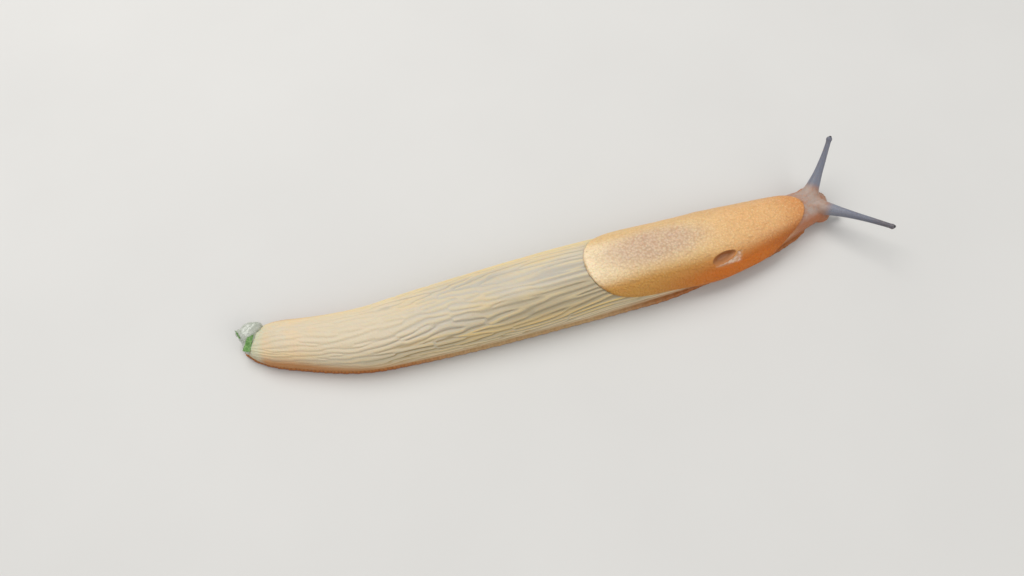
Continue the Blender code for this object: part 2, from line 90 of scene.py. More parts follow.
@dataclass(frozen=True)
class SmoothCurve:
    """A smooth function through given values that never swings past them."""

    places: tuple[float, ...]
    values: tuple[float, ...]

    def __call__(self, at: Array | float) -> Array:
        """The curve's value.

        Args:
            at: Where to read it; past the ends it stays level.

        Returns:
            One value for each place.
        """
        x, y = np.array(self.places), np.array(self.values)
        run = np.diff(x)
        rise = np.diff(y) / run
        slope = np.concatenate([[rise[0]], (rise[:-1] + rise[1:]) / 2, [rise[-1]]])
        slope[1:-1][rise[:-1] * rise[1:] <= 0] = 0
        at = np.clip(np.asarray(at, float), x[0], x[-1])
        i = np.clip(np.searchsorted(x, at) - 1, 0, len(run) - 1)
        t = (at - x[i]) / run[i]
        return (
            y[i] * (1 + 2 * t) * (1 - t) ** 2
            + slope[i] * run[i] * t * (1 - t) ** 2
            + y[i + 1] * t * t * (3 - 2 * t)
            + slope[i + 1] * run[i] * t * t * (t - 1)
        )


@dataclass(frozen=True)
class RoundedEnd:
    """One end of the body or the foot: where it starts to round off, and its tip."""

    start: float
    tip: float

    def share(self, x: Array) -> Array:
        """How far towards the tip a station lies, from 0 to 1."""
        return np.clip((x - self.start) / (self.tip - self.start), 0, 1)

    def station(self, share: Array) -> Array:
        """The station at a share of the way from the start to the tip."""
        return self.start + (self.tip - self.start) * share


@dataclass(frozen=True)
class Ends:
    """The two ends of the body or the foot."""

    tail: RoundedEnd
    head: RoundedEnd
    power: float = 2.3

    def factor(self, x: Array) -> Array:
        """1 along the middle, falling to 0 at the two tips."""
        share = np.maximum(self.tail.share(x), self.head.share(x))
        return np.sqrt(np.maximum(0, 1 - share**self.power))


# Random patterns that are the same on every run


def lattice_random(i: Array, j: Array, salt: int) -> Array:
    """Even random numbers, fixed for each lattice place.

    Args:
        i: Column of each place.
        j: Row of each place.
        salt: Chooses one of many independent patterns.

    Returns:
        Numbers from 0 to 1.
    """
    mask = 0xFFFFFFFF
    n = (i.astype(np.int64) * 374761393 + j.astype(np.int64) * 668265263 + salt * 144665) & mask
    n = ((n ^ (n >> 13)) * 1274126177) & mask
    return ((n ^ (n >> 16)) & 0xFFFFFF) / 0xFFFFFF


def soft_noise(u: Array, v: Array, salt: int) -> Array:
    """Smooth noise with one bump for each unit of u and v.

    Args:
        u: First coordinate.
        v: Second coordinate.
        salt: Chooses one of many independent patterns.

    Returns:
        Numbers from -1 to 1.
    """
    i, j = np.floor(u), np.floor(v)
    a, b = ramp(u - i), ramp(v - j)
    low, high = (
        lattice_random(i, k, salt) * (1 - a) + lattice_random(i + 1, k, salt) * a for k in (j, j + 1)
    )
    return 2 * (low * (1 - b) + high * b) - 1


@dataclass(frozen=True)
class RidgeWaves:
    """Long wavy ridges that fork and run out, like tubercles in uneven rows."""

    waves: int
    spread: float  # how unlike the waves' spacings are
    slant: float  # how steeply the waves may lean against the rows, in rows per millimetre
    skew: float  # how much steeper the ridges' lower sides are
    salt: int
    clear: float = 0.3  # how strong the waves' sum is where a ridge reaches its full height

    def ridges(self, u: Array, v: Array, side: Array) -> Array:
        """The ridges' height.

        Args:
            u: Along the rows, in millimetres.
            v: Across the rows, in rows.
            side: 1 where the ground is towards greater v, -1 where it is the other way, 0 on top.

        Returns:
            Heights from 0 in a groove to 1 on a crest.
        """
        k = np.arange(self.waves)
        draws = (lattice_random(k, 0 * k, self.salt + pick) for pick in range(3))
        across = np.zeros(u.shape)
        up = np.zeros(u.shape)
        for pace, lean, start in zip(*draws):
            rows = (1 + self.spread * (2 * pace - 1)) * v
            turn = 2 * math.pi * (rows + self.slant * (2 * lean - 1) * u + start)
            across += np.cos(turn)
            up += np.sin(turn)
        strength = ramp(np.hypot(across, up) / math.sqrt(self.waves) / self.clear)
        turn = np.arctan2(up, across)
        turn = turn + side * self.skew * (1 - np.cos(turn))
        return 0.55 + (0.5 * np.cos(turn) - 0.05) * strength


@dataclass(frozen=True)
class CellPattern:
    """Rows of staggered cells, like the grains of hide."""

    stretch: float  # how far apart cells of one row stand, against the rows' own spacing of 1
    jitter: float
    salt: int

    def walls(self, u: Array, v: Array) -> Array:
        """Distance from the grooves between the cells.

        Args:
            u: Along the rows, in cells.
            v: Across the rows, in rows.

        Returns:
            The distance from the nearest groove, 0 in it.
        """
        first = second = np.full(u.shape, 9.0)
        for dj, di in product(range(-1, 3), repeat=2):
            j = np.floor(v) + dj
            shift = 0.5 * np.mod(j, 2)
            i = np.floor(u - shift) + di
            at_u = i + shift + self.jitter * (lattice_random(i, j, self.salt) - 0.5)
            at_v = j + self.jitter * (lattice_random(i, j, self.salt + 1) - 0.5)
            gap = np.hypot((u - at_u) * self.stretch, v - at_v)
            second = np.minimum(second, np.maximum(first, gap))
            first = np.minimum(first, gap)
        return second - first


# The body's form


@dataclass(frozen=True)
class Spots:
    """Where points lie on the body.

    x is the station, angle the way round the section, out the height off the skin, side the distance to the
    left of the midline and z the height over the ground.
    """

    x: Array
    angle: Array
    out: Array
    side: Array
    z: Array

    @property
    def turn(self) -> Array:
        """Angle from the middle of the back, positive to the slug's left."""
        return self.angle - QUARTER

    @property
    def round_back(self) -> Array:
        """Way round the back from its middle, in millimetres."""
        return self.turn * BACK_RADIUS


@dataclass(frozen=True)
class BodyForm:
    """The slug's body as a tube round a gently bent midline."""

    drift: float = 0.015
    tail_bend_start: float = -27.0
    tail_bend_run: float = 30.0
    tail_bend: float = 5.8
    head_bend_start: float = 19.6
    head_bend_rate: float = 0.0033
    floor: float = 1.3
    belly_share: float = 0.25
    low_angle: float = math.radians(-12)
    least_end: float = 0.02
    searched: tuple[float, float] = (-54.0, 58.0)  # the stations at which points are looked for
    ends: Ends = Ends(RoundedEnd(-43.0, -49.6), RoundedEnd(46.6, 50.0))
    width: SmoothCurve = SmoothCurve(
        (-50, -42, -30, -14, 4, 16, 28, 38, 45, 50),
        (3.15, 3.95, 5.15, 5.90, 6.25, 5.95, 5.40, 4.20, 3.15, 2.95),
    )
    height: SmoothCurve = SmoothCurve(
        (-50, -42, -30, -14, 4, 16, 28, 38, 45, 50),
        (3.6, 4.6, 5.8, 6.5, 6.9, 6.9, 6.3, 5.2, 4.6, 4.2),
    )

    def midline(self, x: Array) -> Array:
        """The midline's course over the ground.

        Args:
            x: Stations.

        Returns:
            Its Y at each station.
        """
        tail = self.tail_bend * ramp((self.tail_bend_start - x) / self.tail_bend_run)
        head = self.head_bend_rate * np.maximum(0, x - self.head_bend_start) ** 2
        return self.drift * x + tail + head

    def across(self, x: Array) -> Array:
        """The way to the slug's left, square to the midline.

        Args:
            x: Stations.

        Returns:
            A level unit vector at each station.
        """
        slope = (self.midline(x + 0.1) - self.midline(x - 0.1)) / 0.2
        vector = np.stack([-slope, np.ones_like(slope), np.zeros_like(slope)], axis=-1)
        return vector / np.hypot(1, slope)[..., None]

    def section(self, x: Array, angle: Array) -> tuple[Array, Array, Array]:
        """The cross-section's sizes at stations.

        Args:
            x: Stations.
            angle: Angle round the section, 0 on the right flank, up over the back.

        Returns:
            Half width, height of the widest line over the body's floor, and the rise above or below it.
        """
        end = np.maximum(self.ends.factor(x), self.least_end)
        wide = self.width(x) * end
        tall = (self.height(x) - self.floor) * end
        belly = self.belly_share * tall
        rise = np.where(np.sin(angle) > 0, tall - belly, belly / -math.sin(self.low_angle))
        return wide, belly, rise

    def normal(self, x: Array, angle: Array) -> Array:
        """The skin's outward way within the cross-section.

        Args:
            x: Stations.
            angle: Angles round the section.

        Returns:
            One unit vector for each station and angle.
        """
        wide, _, rise = self.section(x, angle)
        right = np.cos(angle) * rise
        up = np.sin(angle) * wide
        length = np.maximum(np.hypot(right, up), 1e-9)
        level = self.across(x) * (-right / length)[..., None]
        level[..., 2] += up / length
        return level

    def point(self, x: Array, angle: Array, out: Array | float = 0.0) -> Array:
        """Points of the skin.

        Args:
            x: Stations.
            angle: Angles round the section.
            out: How far off the skin, outwards.

        Returns:
            One point for each station and angle.
        """
        x, angle, out = np.broadcast_arrays(*(np.asarray(value, float) for value in (x, angle, out)))
        wide, belly, rise = self.section(x, angle)
        spine = np.stack([x, self.midline(x), self.floor + belly + rise * np.sin(angle)], axis=-1)
        skin = spine - self.across(x) * (wide * np.cos(angle))[..., None]
        return skin + self.normal(x, angle) * out[..., None]

    def beside(self, x: float, side: float, z: float) -> Array:
        """A point at a station, out from the midline to the left, at a height."""
        station = np.array(float(x))
        return np.array([x, float(self.midline(station)), z]) + side * self.across(station)

    def locate(self, points: Array) -> Spots:
        """Finds where points lie on the body.

        Args:
            points: Any points near the skin.

        Returns:
            Their stations, angles and heights off the skin.
        """
        x = points[:, 0].copy()
        for _ in range(6):
            level = self.across(x)
            miss = (points[:, 0] - x) * level[:, 1] - (points[:, 1] - self.midline(x)) * level[:, 0]
            x = np.clip(x + miss, *self.searched)
        level = self.across(x)
        side = (points[:, 0] - x) * level[:, 0] + (points[:, 1] - self.midline(x)) * level[:, 1]
        wide, belly, rise = self.section(x, np.ones_like(x))
        up = points[:, 2] - self.floor - belly
        lower = belly / -math.sin(self.low_angle)
        angle = np.arctan2(up / np.where(up > 0, rise, lower), -side / wide)
        angle = np.where(angle < -QUARTER, angle + 2 * math.pi, angle)
        out = np.sum((points - self.point(x, angle)) * self.normal(x, angle), axis=1)
        return Spots(x, angle, out, side, points[:, 2])


@dataclass
class Form:
    """Closed surfaces as points and faces, before they are a mesh."""

    points: Array
    faces: list[tuple[int, ...]]

    @classmethod
    def loft(cls, rings: Array) -> Form:
        """A closed form through rings.

        Args:
            rings: Points as rings by places round each ring by 3.

        Returns:
            The form, with a flat cap at each end.
        """
        count, around = rings.shape[:2]
        last = (count - 1) * around
        faces: list[tuple[int, ...]] = []
        for start, j in product(range(0, last, around), range(around)):
            k = (j + 1) % around
            faces.append((start + j, start + k, start + around + k, start + around + j))
        faces.append(tuple(reversed(range(around))))
        faces.append(tuple(range(last, last + around)))
        return cls(rings.reshape(-1, 3), faces)

    @classmethod
    def ellipsoid(cls, centre: Array | Place, radii: Place, sides: int = 40) -> Form:
        """A closed egg shape.

        Args:
            centre: Its middle.
            radii: Its half sizes along X, Y and Z.
            sides: How many sides it has round its waist.

        Returns:
            The form.
        """
        turn = np.linspace(0, 2 * math.pi, sides, endpoint=False)
        kept = 0.995  # leaves a tiny flat cap at its top and at its bottom
        lift = (np.linspace(-QUARTER, QUARTER, sides // 2) * kept)[:, None]
        level = np.cos(lift)
        rings = np.stack([level * np.cos(turn), level * np.sin(turn), np.sin(lift) + 0 * turn], axis=-1)
        return cls.loft(rings * np.array(radii) + np.array(centre))

    @classmethod
    def tube(cls, path: Array, radii: Array, sides: int = 36) -> Form:
        """A tapered tube along a path.

        Args:
            path: Points along its middle.
            radii: Its radius at each point.
            sides: How many sides it has.

        Returns:
            The form.
        """
        along = unit(np.gradient(path, axis=0))
        left = unit(np.cross([0.0, 0.0, 1.0], along))
        top = np.cross(along, left)
        turn = np.linspace(0, 2 * math.pi, sides, endpoint=False)[None, :, None]
        spokes = np.cos(turn) * left[:, None] + np.sin(turn) * top[:, None]
        return cls.loft(path[:, None] + spokes * radii[:, None, None])

    @classmethod
    def joined(cls, forms: list[Form]) -> Form:
        """Many forms as one.

        Args:
            forms: The forms, which may overlap.

        Returns:
            One form with all their points and faces.
        """
        faces: list[tuple[int, ...]] = []
        start = 0
        for form in forms:
            faces += [tuple(start + k for k in face) for face in form.faces]
            start += len(form.points)
        return cls(np.concatenate([form.points for form in forms]), faces)

    def mesh(self, name: str, scale: float = 1.0) -> bpy.types.Mesh:
        """The form as a mesh.

        Args:
            name: The mesh's name.
            scale: What its points are multiplied by.

        Returns:
            The new mesh.
        """
        made = bpy.data.meshes.new(name)
        made.from_pydata((self.points * scale).tolist(), [], self.faces)
        made.update()
        return made

    def fused(self, name: str, voxel: float) -> bpy.types.Mesh:
        """Melts the form's overlapping parts into one even surface.

        Args:
            name: The new mesh's name.
            voxel: Size of the surface's squares.

        Returns:
            The new mesh, in the form's own unit.
        """
        source = place_object(name + "_raw", self.mesh(name + "_raw"))
        modifier = source.modifiers.new("fuse", "REMESH")
        modifier.mode = "VOXEL"
        modifier.voxel_size = voxel
        modifier.use_smooth_shade = True
        graph = bpy.context.evaluated_depsgraph_get()
        made = bpy.data.meshes.new_from_object(source.evaluated_get(graph))
        made.name = name
        bpy.data.objects.remove(source)
        return made


def place_object(name: str, data: bpy.types.ID) -> bpy.types.Object:
    """Puts a mesh, a lamp or a camera into the scene.

    Args:
        name: The new object's name.
        data: What it shows.

    Returns:
        The object.
    """
    made = bpy.data.objects.new(name, data)
    bpy.context.scene.collection.objects.link(made)
    return made


def aim(made: bpy.types.Object, place: Vector, target: Vector, roll: float = 0.0) -> None:
    """Points a lamp or a camera.

    Args:
        made: Its object.
        place: Where it stands, in metres.
        target: Where it looks.
        roll: How far it is turned about its own axis.
    """
    made.location = place
    made.rotation_mode = "QUATERNION"
    made.rotation_quaternion = (target - place).to_track_quat("-Z", "Y") @ Quaternion((0, 0, 1), roll)


def dressed(name: str, mesh: bpy.types.Mesh, material: bpy.types.Material) -> bpy.types.Object:
    """Puts a smooth mesh into the scene in one material.

    Args:
        name: The new object's name.
        mesh: Its mesh, in metres.
        material: Its material.

    Returns:
        The object.
    """
    mesh.shade_smooth()
    mesh.materials.clear()
    mesh.materials.append(material)
    return place_object(name, mesh)


def read(items: bpy.types.bpy_prop_collection, key: str, width: int = 3, kind: type = float) -> Array:
    """One property of all of a mesh's points, normals or edges.

    Args:
        items: The mesh's collection.
        key: The property's name.
        width: How many numbers it has.
        kind: The numbers' type.

    Returns:
        One row for each item.
    """
    flat = np.empty(len(items) * width, dtype=kind)
    items.foreach_get(key, flat)
    return flat.reshape(-1, width)


def read_points(mesh: bpy.types.Mesh) -> Array:
    """A mesh's points."""
    return read(mesh.vertices, "co")


def write_points(mesh: bpy.types.Mesh, points: Array) -> None:
    """Moves a mesh's points."""
    mesh.vertices.foreach_set("co", points.ravel())
    mesh.update()


def raised(mesh: bpy.types.Mesh, height: Array, floor: float) -> Array:
    """A mesh's points, raised along their normals.

    Args:
        mesh: The mesh.
        height: How far each point goes.
        floor: The lowest height over the ground that a point may have.

    Returns:
        The moved points.
    """
    points = read_points(mesh) + read(mesh.vertex_normals, "vector") * height[:, None]
    points[:, 2] = np.maximum(points[:, 2], floor)
    return points


def relaxed(mesh: bpy.types.Mesh, weight: Array | float, rounds: int) -> Array:
    """A mesh's points, each drawn towards the middle of its neighbours.

    Args:
        mesh: The mesh.
        weight: How far each point goes on each round, from 0 to 1.
        rounds: How often.

    Returns:
        The moved points.
    """
    moved = read_points(mesh)
    total = len(moved)
    weight = np.broadcast_to(np.asarray(weight, float), (total,))
    own = weight > 0.001
    edges = read(mesh.edges, "vertices", 2, np.int32)
    edges = edges[own[edges[:, 0]] | own[edges[:, 1]]]
    first = np.concatenate([edges[:, 0], edges[:, 1]])
    second = np.concatenate([edges[:, 1], edges[:, 0]])
    count = np.maximum(np.bincount(first, minlength=total), 1)
    for _, k in product(range(rounds), range(3)):
        middle = np.bincount(first, weights=moved[second, k], minlength=total) / count
        moved[:, k] += np.where(own, weight * (middle - moved[:, k]), 0)
    return moved


# The slug's parts. Each gives closed forms that the skin is melted from, then the relief on its own ground


@dataclass(frozen=True)
class Trunk:
    """The body itself, from the tail's tip to the snout, with the rows of tubercles on its back."""

    body: BodyForm
    stations: int = 260
    end_stations: int = 24
    around: int = 72
    last_turn: float = 0.97 * QUARTER  # stops the rings just short of the tips
    sunk: float = 0.75
    row_spacing: float = 1.20
    fan_closing: tuple[float, float] = (0.12, 0.06)
    crest: float = 0.12
    groove: float = 0.08
    waves: RidgeWaves = RidgeWaves(waves=11, spread=0.30, slant=0.20, skew=0.45, salt=23)

    def form(self, foot: Foot) -> Form:
        """The bare trunk, sunk a little into the foot so that the two melt together.

        Args:
            foot: The foot under it.

        Returns:
            The closed form.
        """
        ends = self.body.ends
        share = np.sin(np.linspace(0, self.last_turn, self.end_stations))
        middle = np.linspace(ends.tail.start, ends.head.start, self.stations)[1:-1]
        x = np.concatenate([ends.tail.station(share)[::-1], middle, ends.head.station(share)])
        angle = np.linspace(self.body.low_angle, math.pi - self.body.low_angle, self.around)
        rings = self.body.point(x[:, None], angle[None, :])
        skirt = rings[:, [-1, 0]].copy()
        skirt[..., 2] -= ((self.body.floor - self.sunk) * foot.ends.factor(x))[:, None]
        return Form.loft(np.concatenate([rings, skirt], axis=1))

    def tubercles(self, spots: Spots) -> tuple[Array, Array]:
        """The pattern of ridges and grooves.

        Args:
            spots: Places on the body.

        Returns:
            Ridge height from 0 in a groove to 1 on a crest, and how golden each ridge is from 0 to 1.
        """
        by_shield, at_shield = self.fan_closing
        fan = 1 - by_shield * ramp((spots.x + 12) / 22) - at_shield * ramp((spots.x + 3) / 13)
        run = spots.x + 0.15 * np.minimum(0, spots.x + 30) - 0.55 * np.maximum(0, spots.x + 7)
        rows = spots.round_back / (self.row_spacing * fan)
        rows = rows + 0.30 * soft_noise(run / 6.0, spots.round_back / 3.0, 5)
        rows = rows + 0.12 * soft_noise(run / 2.2, spots.round_back / 1.1, 6)
        side = np.clip(spots.turn / math.radians(15), -1, 1)
        tone = 0.5 + 0.5 * soft_noise(spots.x / 3.5, spots.round_back / 1.4, 14)
        return self.waves.ridges(run, rows, side), tone

    def off_top(self, spots: Spots) -> Array:
        """0 on top of the back, 1 on its flanks."""
        sideways = ramp((np.abs(spots.turn) - math.radians(6)) / math.radians(34))
        return np.maximum(sideways, ramp((spots.x + 5) / 10))

    def strength(self, spots: Spots) -> Array:
        """How strongly the tubercles stand out: less on top, on the tail and near the foot and the head.

        Args:
            spots: Places on the body.

        Returns:
            Numbers from 0 to 1.
        """
        low = ramp((spots.z - 0.70) / 0.5)
        tail = 1 - 0.55 * ramp((-22 - spots.x) / 16)
        even = np.maximum(self.off_top(spots), 0.8 * ramp((-26 - spots.x) / 10))
        return (0.42 + 0.58 * even) * low * tail * (1 - ramp((spots.x - 35) / 8))


@dataclass(frozen=True)
class Shield:
    """The mantle: a thick shield with a free rim over the front of the back, and its breathing pore."""

    body: BodyForm
    rear: float = 6.2
    front: float = 44.8
    edge_angle: float = math.radians(-3)
    front_edge_angle: float = math.radians(-11)
    neck_lift: float = math.radians(15)  # how much higher the rim runs beside the neck
    rear_powers: tuple[float, float] = (2.9, 0.56)
    front_powers: tuple[float, float] = (5.6, 0.66)
    proud: float = 0.5
    flares: tuple[float, float] = (0.30, 0.80)  # on the left, on the right
    rim_round: float = 0.95
    depth: float = 1.5
    stations: int = 200
    around: int = 90
    pore_x: float = 28.1
    pore_angle: float = math.radians(42.5)
    pore_radii: tuple[float, float] = (2.08, 0.96)
    pore_tilt: float = math.radians(10)
    pore_depth: float = 0.62

    def edge(self, x: Array) -> Array:
        """How far down the shield covers the body.

        Args:
            x: Stations.

        Returns:
            The rim's angle on the right, 90 degrees past the shield's ends.
        """
        share = (x - (self.rear + self.front) / 2) / ((self.front - self.rear) / 2)
        power, root = (np.where(share > 0, *pair) for pair in zip(self.front_powers, self.rear_powers))
        spread = np.maximum(0, 1 - np.abs(share) ** power) ** root
        lowest = self.edge_angle + (self.front_edge_angle - self.edge_angle) * ramp((x - 16) / 12)
        lowest = lowest + self.neck_lift * ramp((x - 35) / 8)
        return QUARTER - (QUARTER - lowest) * spread

    def inset(self, x: Array, angle: Array) -> Array:
        """How far inside the rim places lie; negative outside."""
        sideways = (QUARTER - self.edge(x) - np.abs(angle - QUARTER)) * self.body.width(x)
        return np.minimum(sideways, np.minimum(x - self.rear, self.front - x))

    def thickness(self, x: Array, angle: Array) -> Array:
        """How far the shield stands off the body: rounded over at the rim, flaring out low in front.

        Args:
            x: Stations.
            angle: Angles round the section.

        Returns:
            One height for each place.
        """
        share = np.clip(self.inset(x, angle) / self.rim_round, 0, 1)
        low = ramp((np.abs(angle - QUARTER) - math.radians(66)) / math.radians(26))
        flare = np.where(angle > QUARTER, *self.flares) * low * ramp((x - 18) / 11) * ramp((43 - x) / 7)
        return (self.proud + flare) * np.sqrt(np.maximum(0, 1 - (1 - share) ** 2)) - 0.04

    def form(self) -> Form:
        """The shield, its underside sunk into the trunk.

        Returns:
            The closed form.
        """
        turn = np.linspace(math.radians(2), math.radians(178), self.stations)
        x = (self.front + self.rear) / 2 - (self.front - self.rear) / 2 * np.cos(turn)
        edge = self.edge(x)[:, None]
        share = (1 - np.cos(np.linspace(0, math.pi, self.around))) / 2
        share = 0.6 * share + 0.4 * np.linspace(0, 1, self.around)
        angle = edge + (math.pi - 2 * edge) * share
        station = np.repeat(x[:, None], angle.shape[1], axis=1)
        outer = self.body.point(station, angle, self.thickness(station, angle))
        inner = self.body.point(station, angle, np.full(angle.shape, -self.depth))
        inner[:, [0, -1]] = self.body.point(station[:, [0, -1]], angle[:, [0, -1]], -0.3)
        return Form.loft(np.concatenate([outer, inner[:, ::-1]], axis=1))

    def mask(self, spots: Spots) -> Array:
        """1 on the shield, 0 off it."""
        inset = self.inset(spots.x, spots.angle)
        return ramp((inset + 0.16) / 0.12) * ramp((spots.out - 0.05) / 0.12)

    def pore_frame(self, spots: Spots) -> tuple[Array, Array]:
        """Places along the pore's own tilted axes.

        Args:
            spots: Places on the body.

        Returns:
            How far forward and how far up from the pore's middle they lie.
        """
        along = spots.x - self.pore_x
        up = (spots.angle - self.pore_angle) * self.body.width(spots.x)
        cos, sin = math.cos(self.pore_tilt), math.sin(self.pore_tilt)
        return cos * along + sin * up, cos * up - sin * along

    def pore_reach(self, spots: Spots) -> Array:
        """Distance from the pore's middle, for a pore that is narrower in front.

        Args:
            spots: Places on the body.

        Returns:
            The distance, 1 on the pore's rim.
        """
        along, up = self.pore_frame(spots)
        taper = 1 - 0.22 * along / self.pore_radii[0]
        return np.hypot(along / self.pore_radii[0], up / (self.pore_radii[1] * np.clip(taper, 0.5, 1.4)))

    def cleft(self, spots: Spots) -> Array:
        """The pale membrane that spreads from under the pore towards the rim.

        Args:
            spots: Places on the body.

        Returns:
            1 on it, 0 off it.
        """
        along, up = self.pore_frame(spots)
        top = -0.95 * np.sqrt(np.clip(1 - (along / 2.3) ** 2, 0, 1)) - 0.35 * ramp((along - 1.9) / 1.0)
        low = -1.45 - 0.24 * (along + 1.65)
        front = 3.4 + 0.42 * (up + 0.65)
        inner = ramp((top + 0.05 - up) / 0.20) * ramp((up - low) / 0.45)
        return inner * ramp((along + 2.1) / 1.2) * ramp((front - along) / 0.9)

    def relief(self, spots: Spots) -> Array:
        """Height of the shield's own forms: soft lumps, folds along the rim, the pore and its lip.

        Args:
            spots: Places on the body.

        Returns:
            One height for each place.
        """
        x, back = spots.x, spots.round_back
        lumps = 0.07 * soft_noise(x / 7, back / 4, 21) + 0.025 * soft_noise(x / 2, back / 1.6, 22)
        by_rim = hump(self.inset(x, spots.angle) - 0.95, 0.22)
        folds = -0.05 * by_rim * (0.6 + 0.4 * soft_noise(x / 3, back / 3, 23))
        reach = self.pore_reach(spots)
        pore = -self.pore_depth * ramp((1.04 - reach) / 0.62) + 0.08 * hump(reach - 1.14, 0.13)
        along, up = self.pore_frame(spots)
        pleats = 0.03 * np.sin(9 * (up + 0.35 * along)) - 0.12
        return lumps + folds + pore + pleats * self.cleft(spots) * ramp((reach - 0.95) / 0.2)


@dataclass(frozen=True)
class Foot:
    """The flat foot: the sole and the fringe round it."""

    body: BodyForm
    ends: Ends = Ends(RoundedEnd(-42.0, -50.2), RoundedEnd(42.3, 46.6))
    width: SmoothCurve = SmoothCurve(
        (-50, -42, -30, -14, 4, 16, 28, 38, 45, 50),
        (3.35, 4.10, 5.35, 6.35, 6.65, 6.70, 5.60, 4.85, 3.50, 2.60),
    )
    top: float = 0.75
    layers: tuple[tuple[float, float], ...] = (  # how far in from the edge, and how high
        (0.16, 0.0),
        (0.04, 0.12),
        (0.0, 0.36),
        (0.10, 0.60),
        (0.36, 0.73),
        (0.8, 0.75),
    )
    line_pitch: float = 0.62
    line_depth: float = 0.05
    scallop_pitch: float = 1.9
    scallop_depth: float = 0.05
    right_start: float = 400.0  # keeps the right edge's pattern apart from the left's
    measured_height: float = 1.6  # points higher than this have no place by the edge
    far: float = 9.0  # the distance that they are given
    batch: int = 4000  # how many points are measured at a time

    def outline(self, side: Side, samples: int = 700) -> Array:
        """The foot's edge on one side.

        Args:
            side: Which side.
            samples: How many points it has between the rounded ends.

        Returns:
            Its points, from the front's middle to the tail's.
        """
        head, tail = self.ends.head, self.ends.tail
        turn = np.linspace(0, QUARTER, samples // 5)
        middle = np.linspace(head.start, tail.start, samples)[1:-1]
        x = np.concatenate([head.station(np.cos(turn)), middle, tail.station(np.sin(turn))])
        spine = np.stack([x, self.body.midline(x), np.zeros_like(x)], axis=-1)
        return spine + self.body.across(x) * (side.value * self.width(x) * self.ends.factor(x))[:, None]

    def form(self) -> Form:
        """The foot as a slab with a rounded edge.

        Returns:
            The closed form.
        """
        loop = np.concatenate([self.outline(Side.LEFT)[:-1], self.outline(Side.RIGHT)[:0:-1]])
        along = np.roll(loop, -1, axis=0) - np.roll(loop, 1, axis=0)
        inward = np.stack([-along[:, 1], along[:, 0], 0 * along[:, 0]], axis=-1)
        inward /= np.maximum(np.linalg.norm(inward, axis=1), 1e-9)[:, None]
        return Form.loft(np.array([loop + inward * inset + np.array([0, 0, z]) for inset, z in self.layers]))

    def edge_frame(self, spots: Spots, points: Array) -> tuple[Array, Array]:
        """Where points lie by the foot's edge.

        Args:
            spots: The points' places on the body.
            points: The points.

        Returns:
            The length along the edge from the foot's front, and the distance from the edge.
        """
        length = np.zeros(len(points))
        distance = np.full(len(points), self.far)
        for side in Side:
            edge = self.outline(side)[:, :2]
            run = np.concatenate([[0], np.cumsum(np.linalg.norm(np.diff(edge, axis=0), axis=1))])
            own = np.flatnonzero((spots.side * side.value >= 0) & (spots.z < self.measured_height))
            for part in np.array_split(own, max(1, len(own) // self.batch)):
                gaps = np.linalg.norm(points[part, None, :2] - edge[None], axis=2)
                nearest = gaps.argmin(axis=1)
                length[part] = run[nearest] + (0 if side is Side.LEFT else self.right_start)
                distance[part] = gaps[np.arange(len(part)), nearest]
        return length, distance

    def mask(self, spots: Spots) -> Array:
        """1 on the foot, 0 on the body over it."""
        return ramp((self.top + 0.12 - spots.z) / 0.14)

    def lines(self, length: Array) -> Array:
        """The upright lines of the fringe, from 0 between them to 1 in them."""
        wander = 0.35 * soft_noise(length / 1.3, 0 * length, 31)
        return (0.5 + 0.5 * np.cos(2 * math.pi * (length / self.line_pitch + wander))) ** 2

    def relief(self, length: Array, distance: Array, spots: Spots) -> Array:
        """Height of the fringe's scallops and lines.

        Args:
            length: Places along the foot's edge.
            distance: Their distance from it.
            spots: The same places on the body.

        Returns:
            One height for each place.
        """
        near = ramp((0.75 - distance) / 0.5) * ramp(spots.z / 0.25)
        wander = 0.3 * soft_noise(length / 3, 0 * length, 32)
        scallop = np.cos(2 * math.pi * (length / self.scallop_pitch + wander))
        return near * (self.scallop_depth * scallop - self.line_depth * self.lines(length))


@dataclass(frozen=True)
class Stalk:
    """One upper or lower tentacle."""

    side: Side
    root: Array
    tip: Array
    bow: Place
    radii: tuple[float, ...]
    bulb: float

    def path(self, samples: int = 60) -> Array:
        """Points along its middle, from inside the head to its tip."""
        share = np.linspace(0, 1, samples)[:, None]
        return self.root * (1 - share) + self.tip * share + np.array(self.bow) * 4 * share * (1 - share)

    def radius(self, share: Array) -> Array:
        """Its radius along its length."""
        return SmoothCurve(tuple(np.linspace(0, 1, len(self.radii))), self.radii)(share)

    def forms(self) -> list[Form]:
        """Its tapered tube and the round end that it carries.

        Returns:
            The two closed forms.
        """
        path = self.path()
        shaft = Form.tube(path, self.radius(np.linspace(0, 1, len(path))))
        return [shaft, Form.ellipsoid(self.tip, (self.bulb,) * 3)]

    def reach(self, points: Array) -> tuple[Array, Array]:
        """How points lie by the stalk.

        Args:
            points: Points near the head.

        Returns:
            How far along the stalk the nearest place is, from 0 to 1, and the distance to it.
        """
        path = self.path()
        gaps = np.linalg.norm(points[:, None] - path[None], axis=2)
        nearest = gaps.argmin(axis=1)
        return nearest / (len(path) - 1), gaps[np.arange(len(points)), nearest]


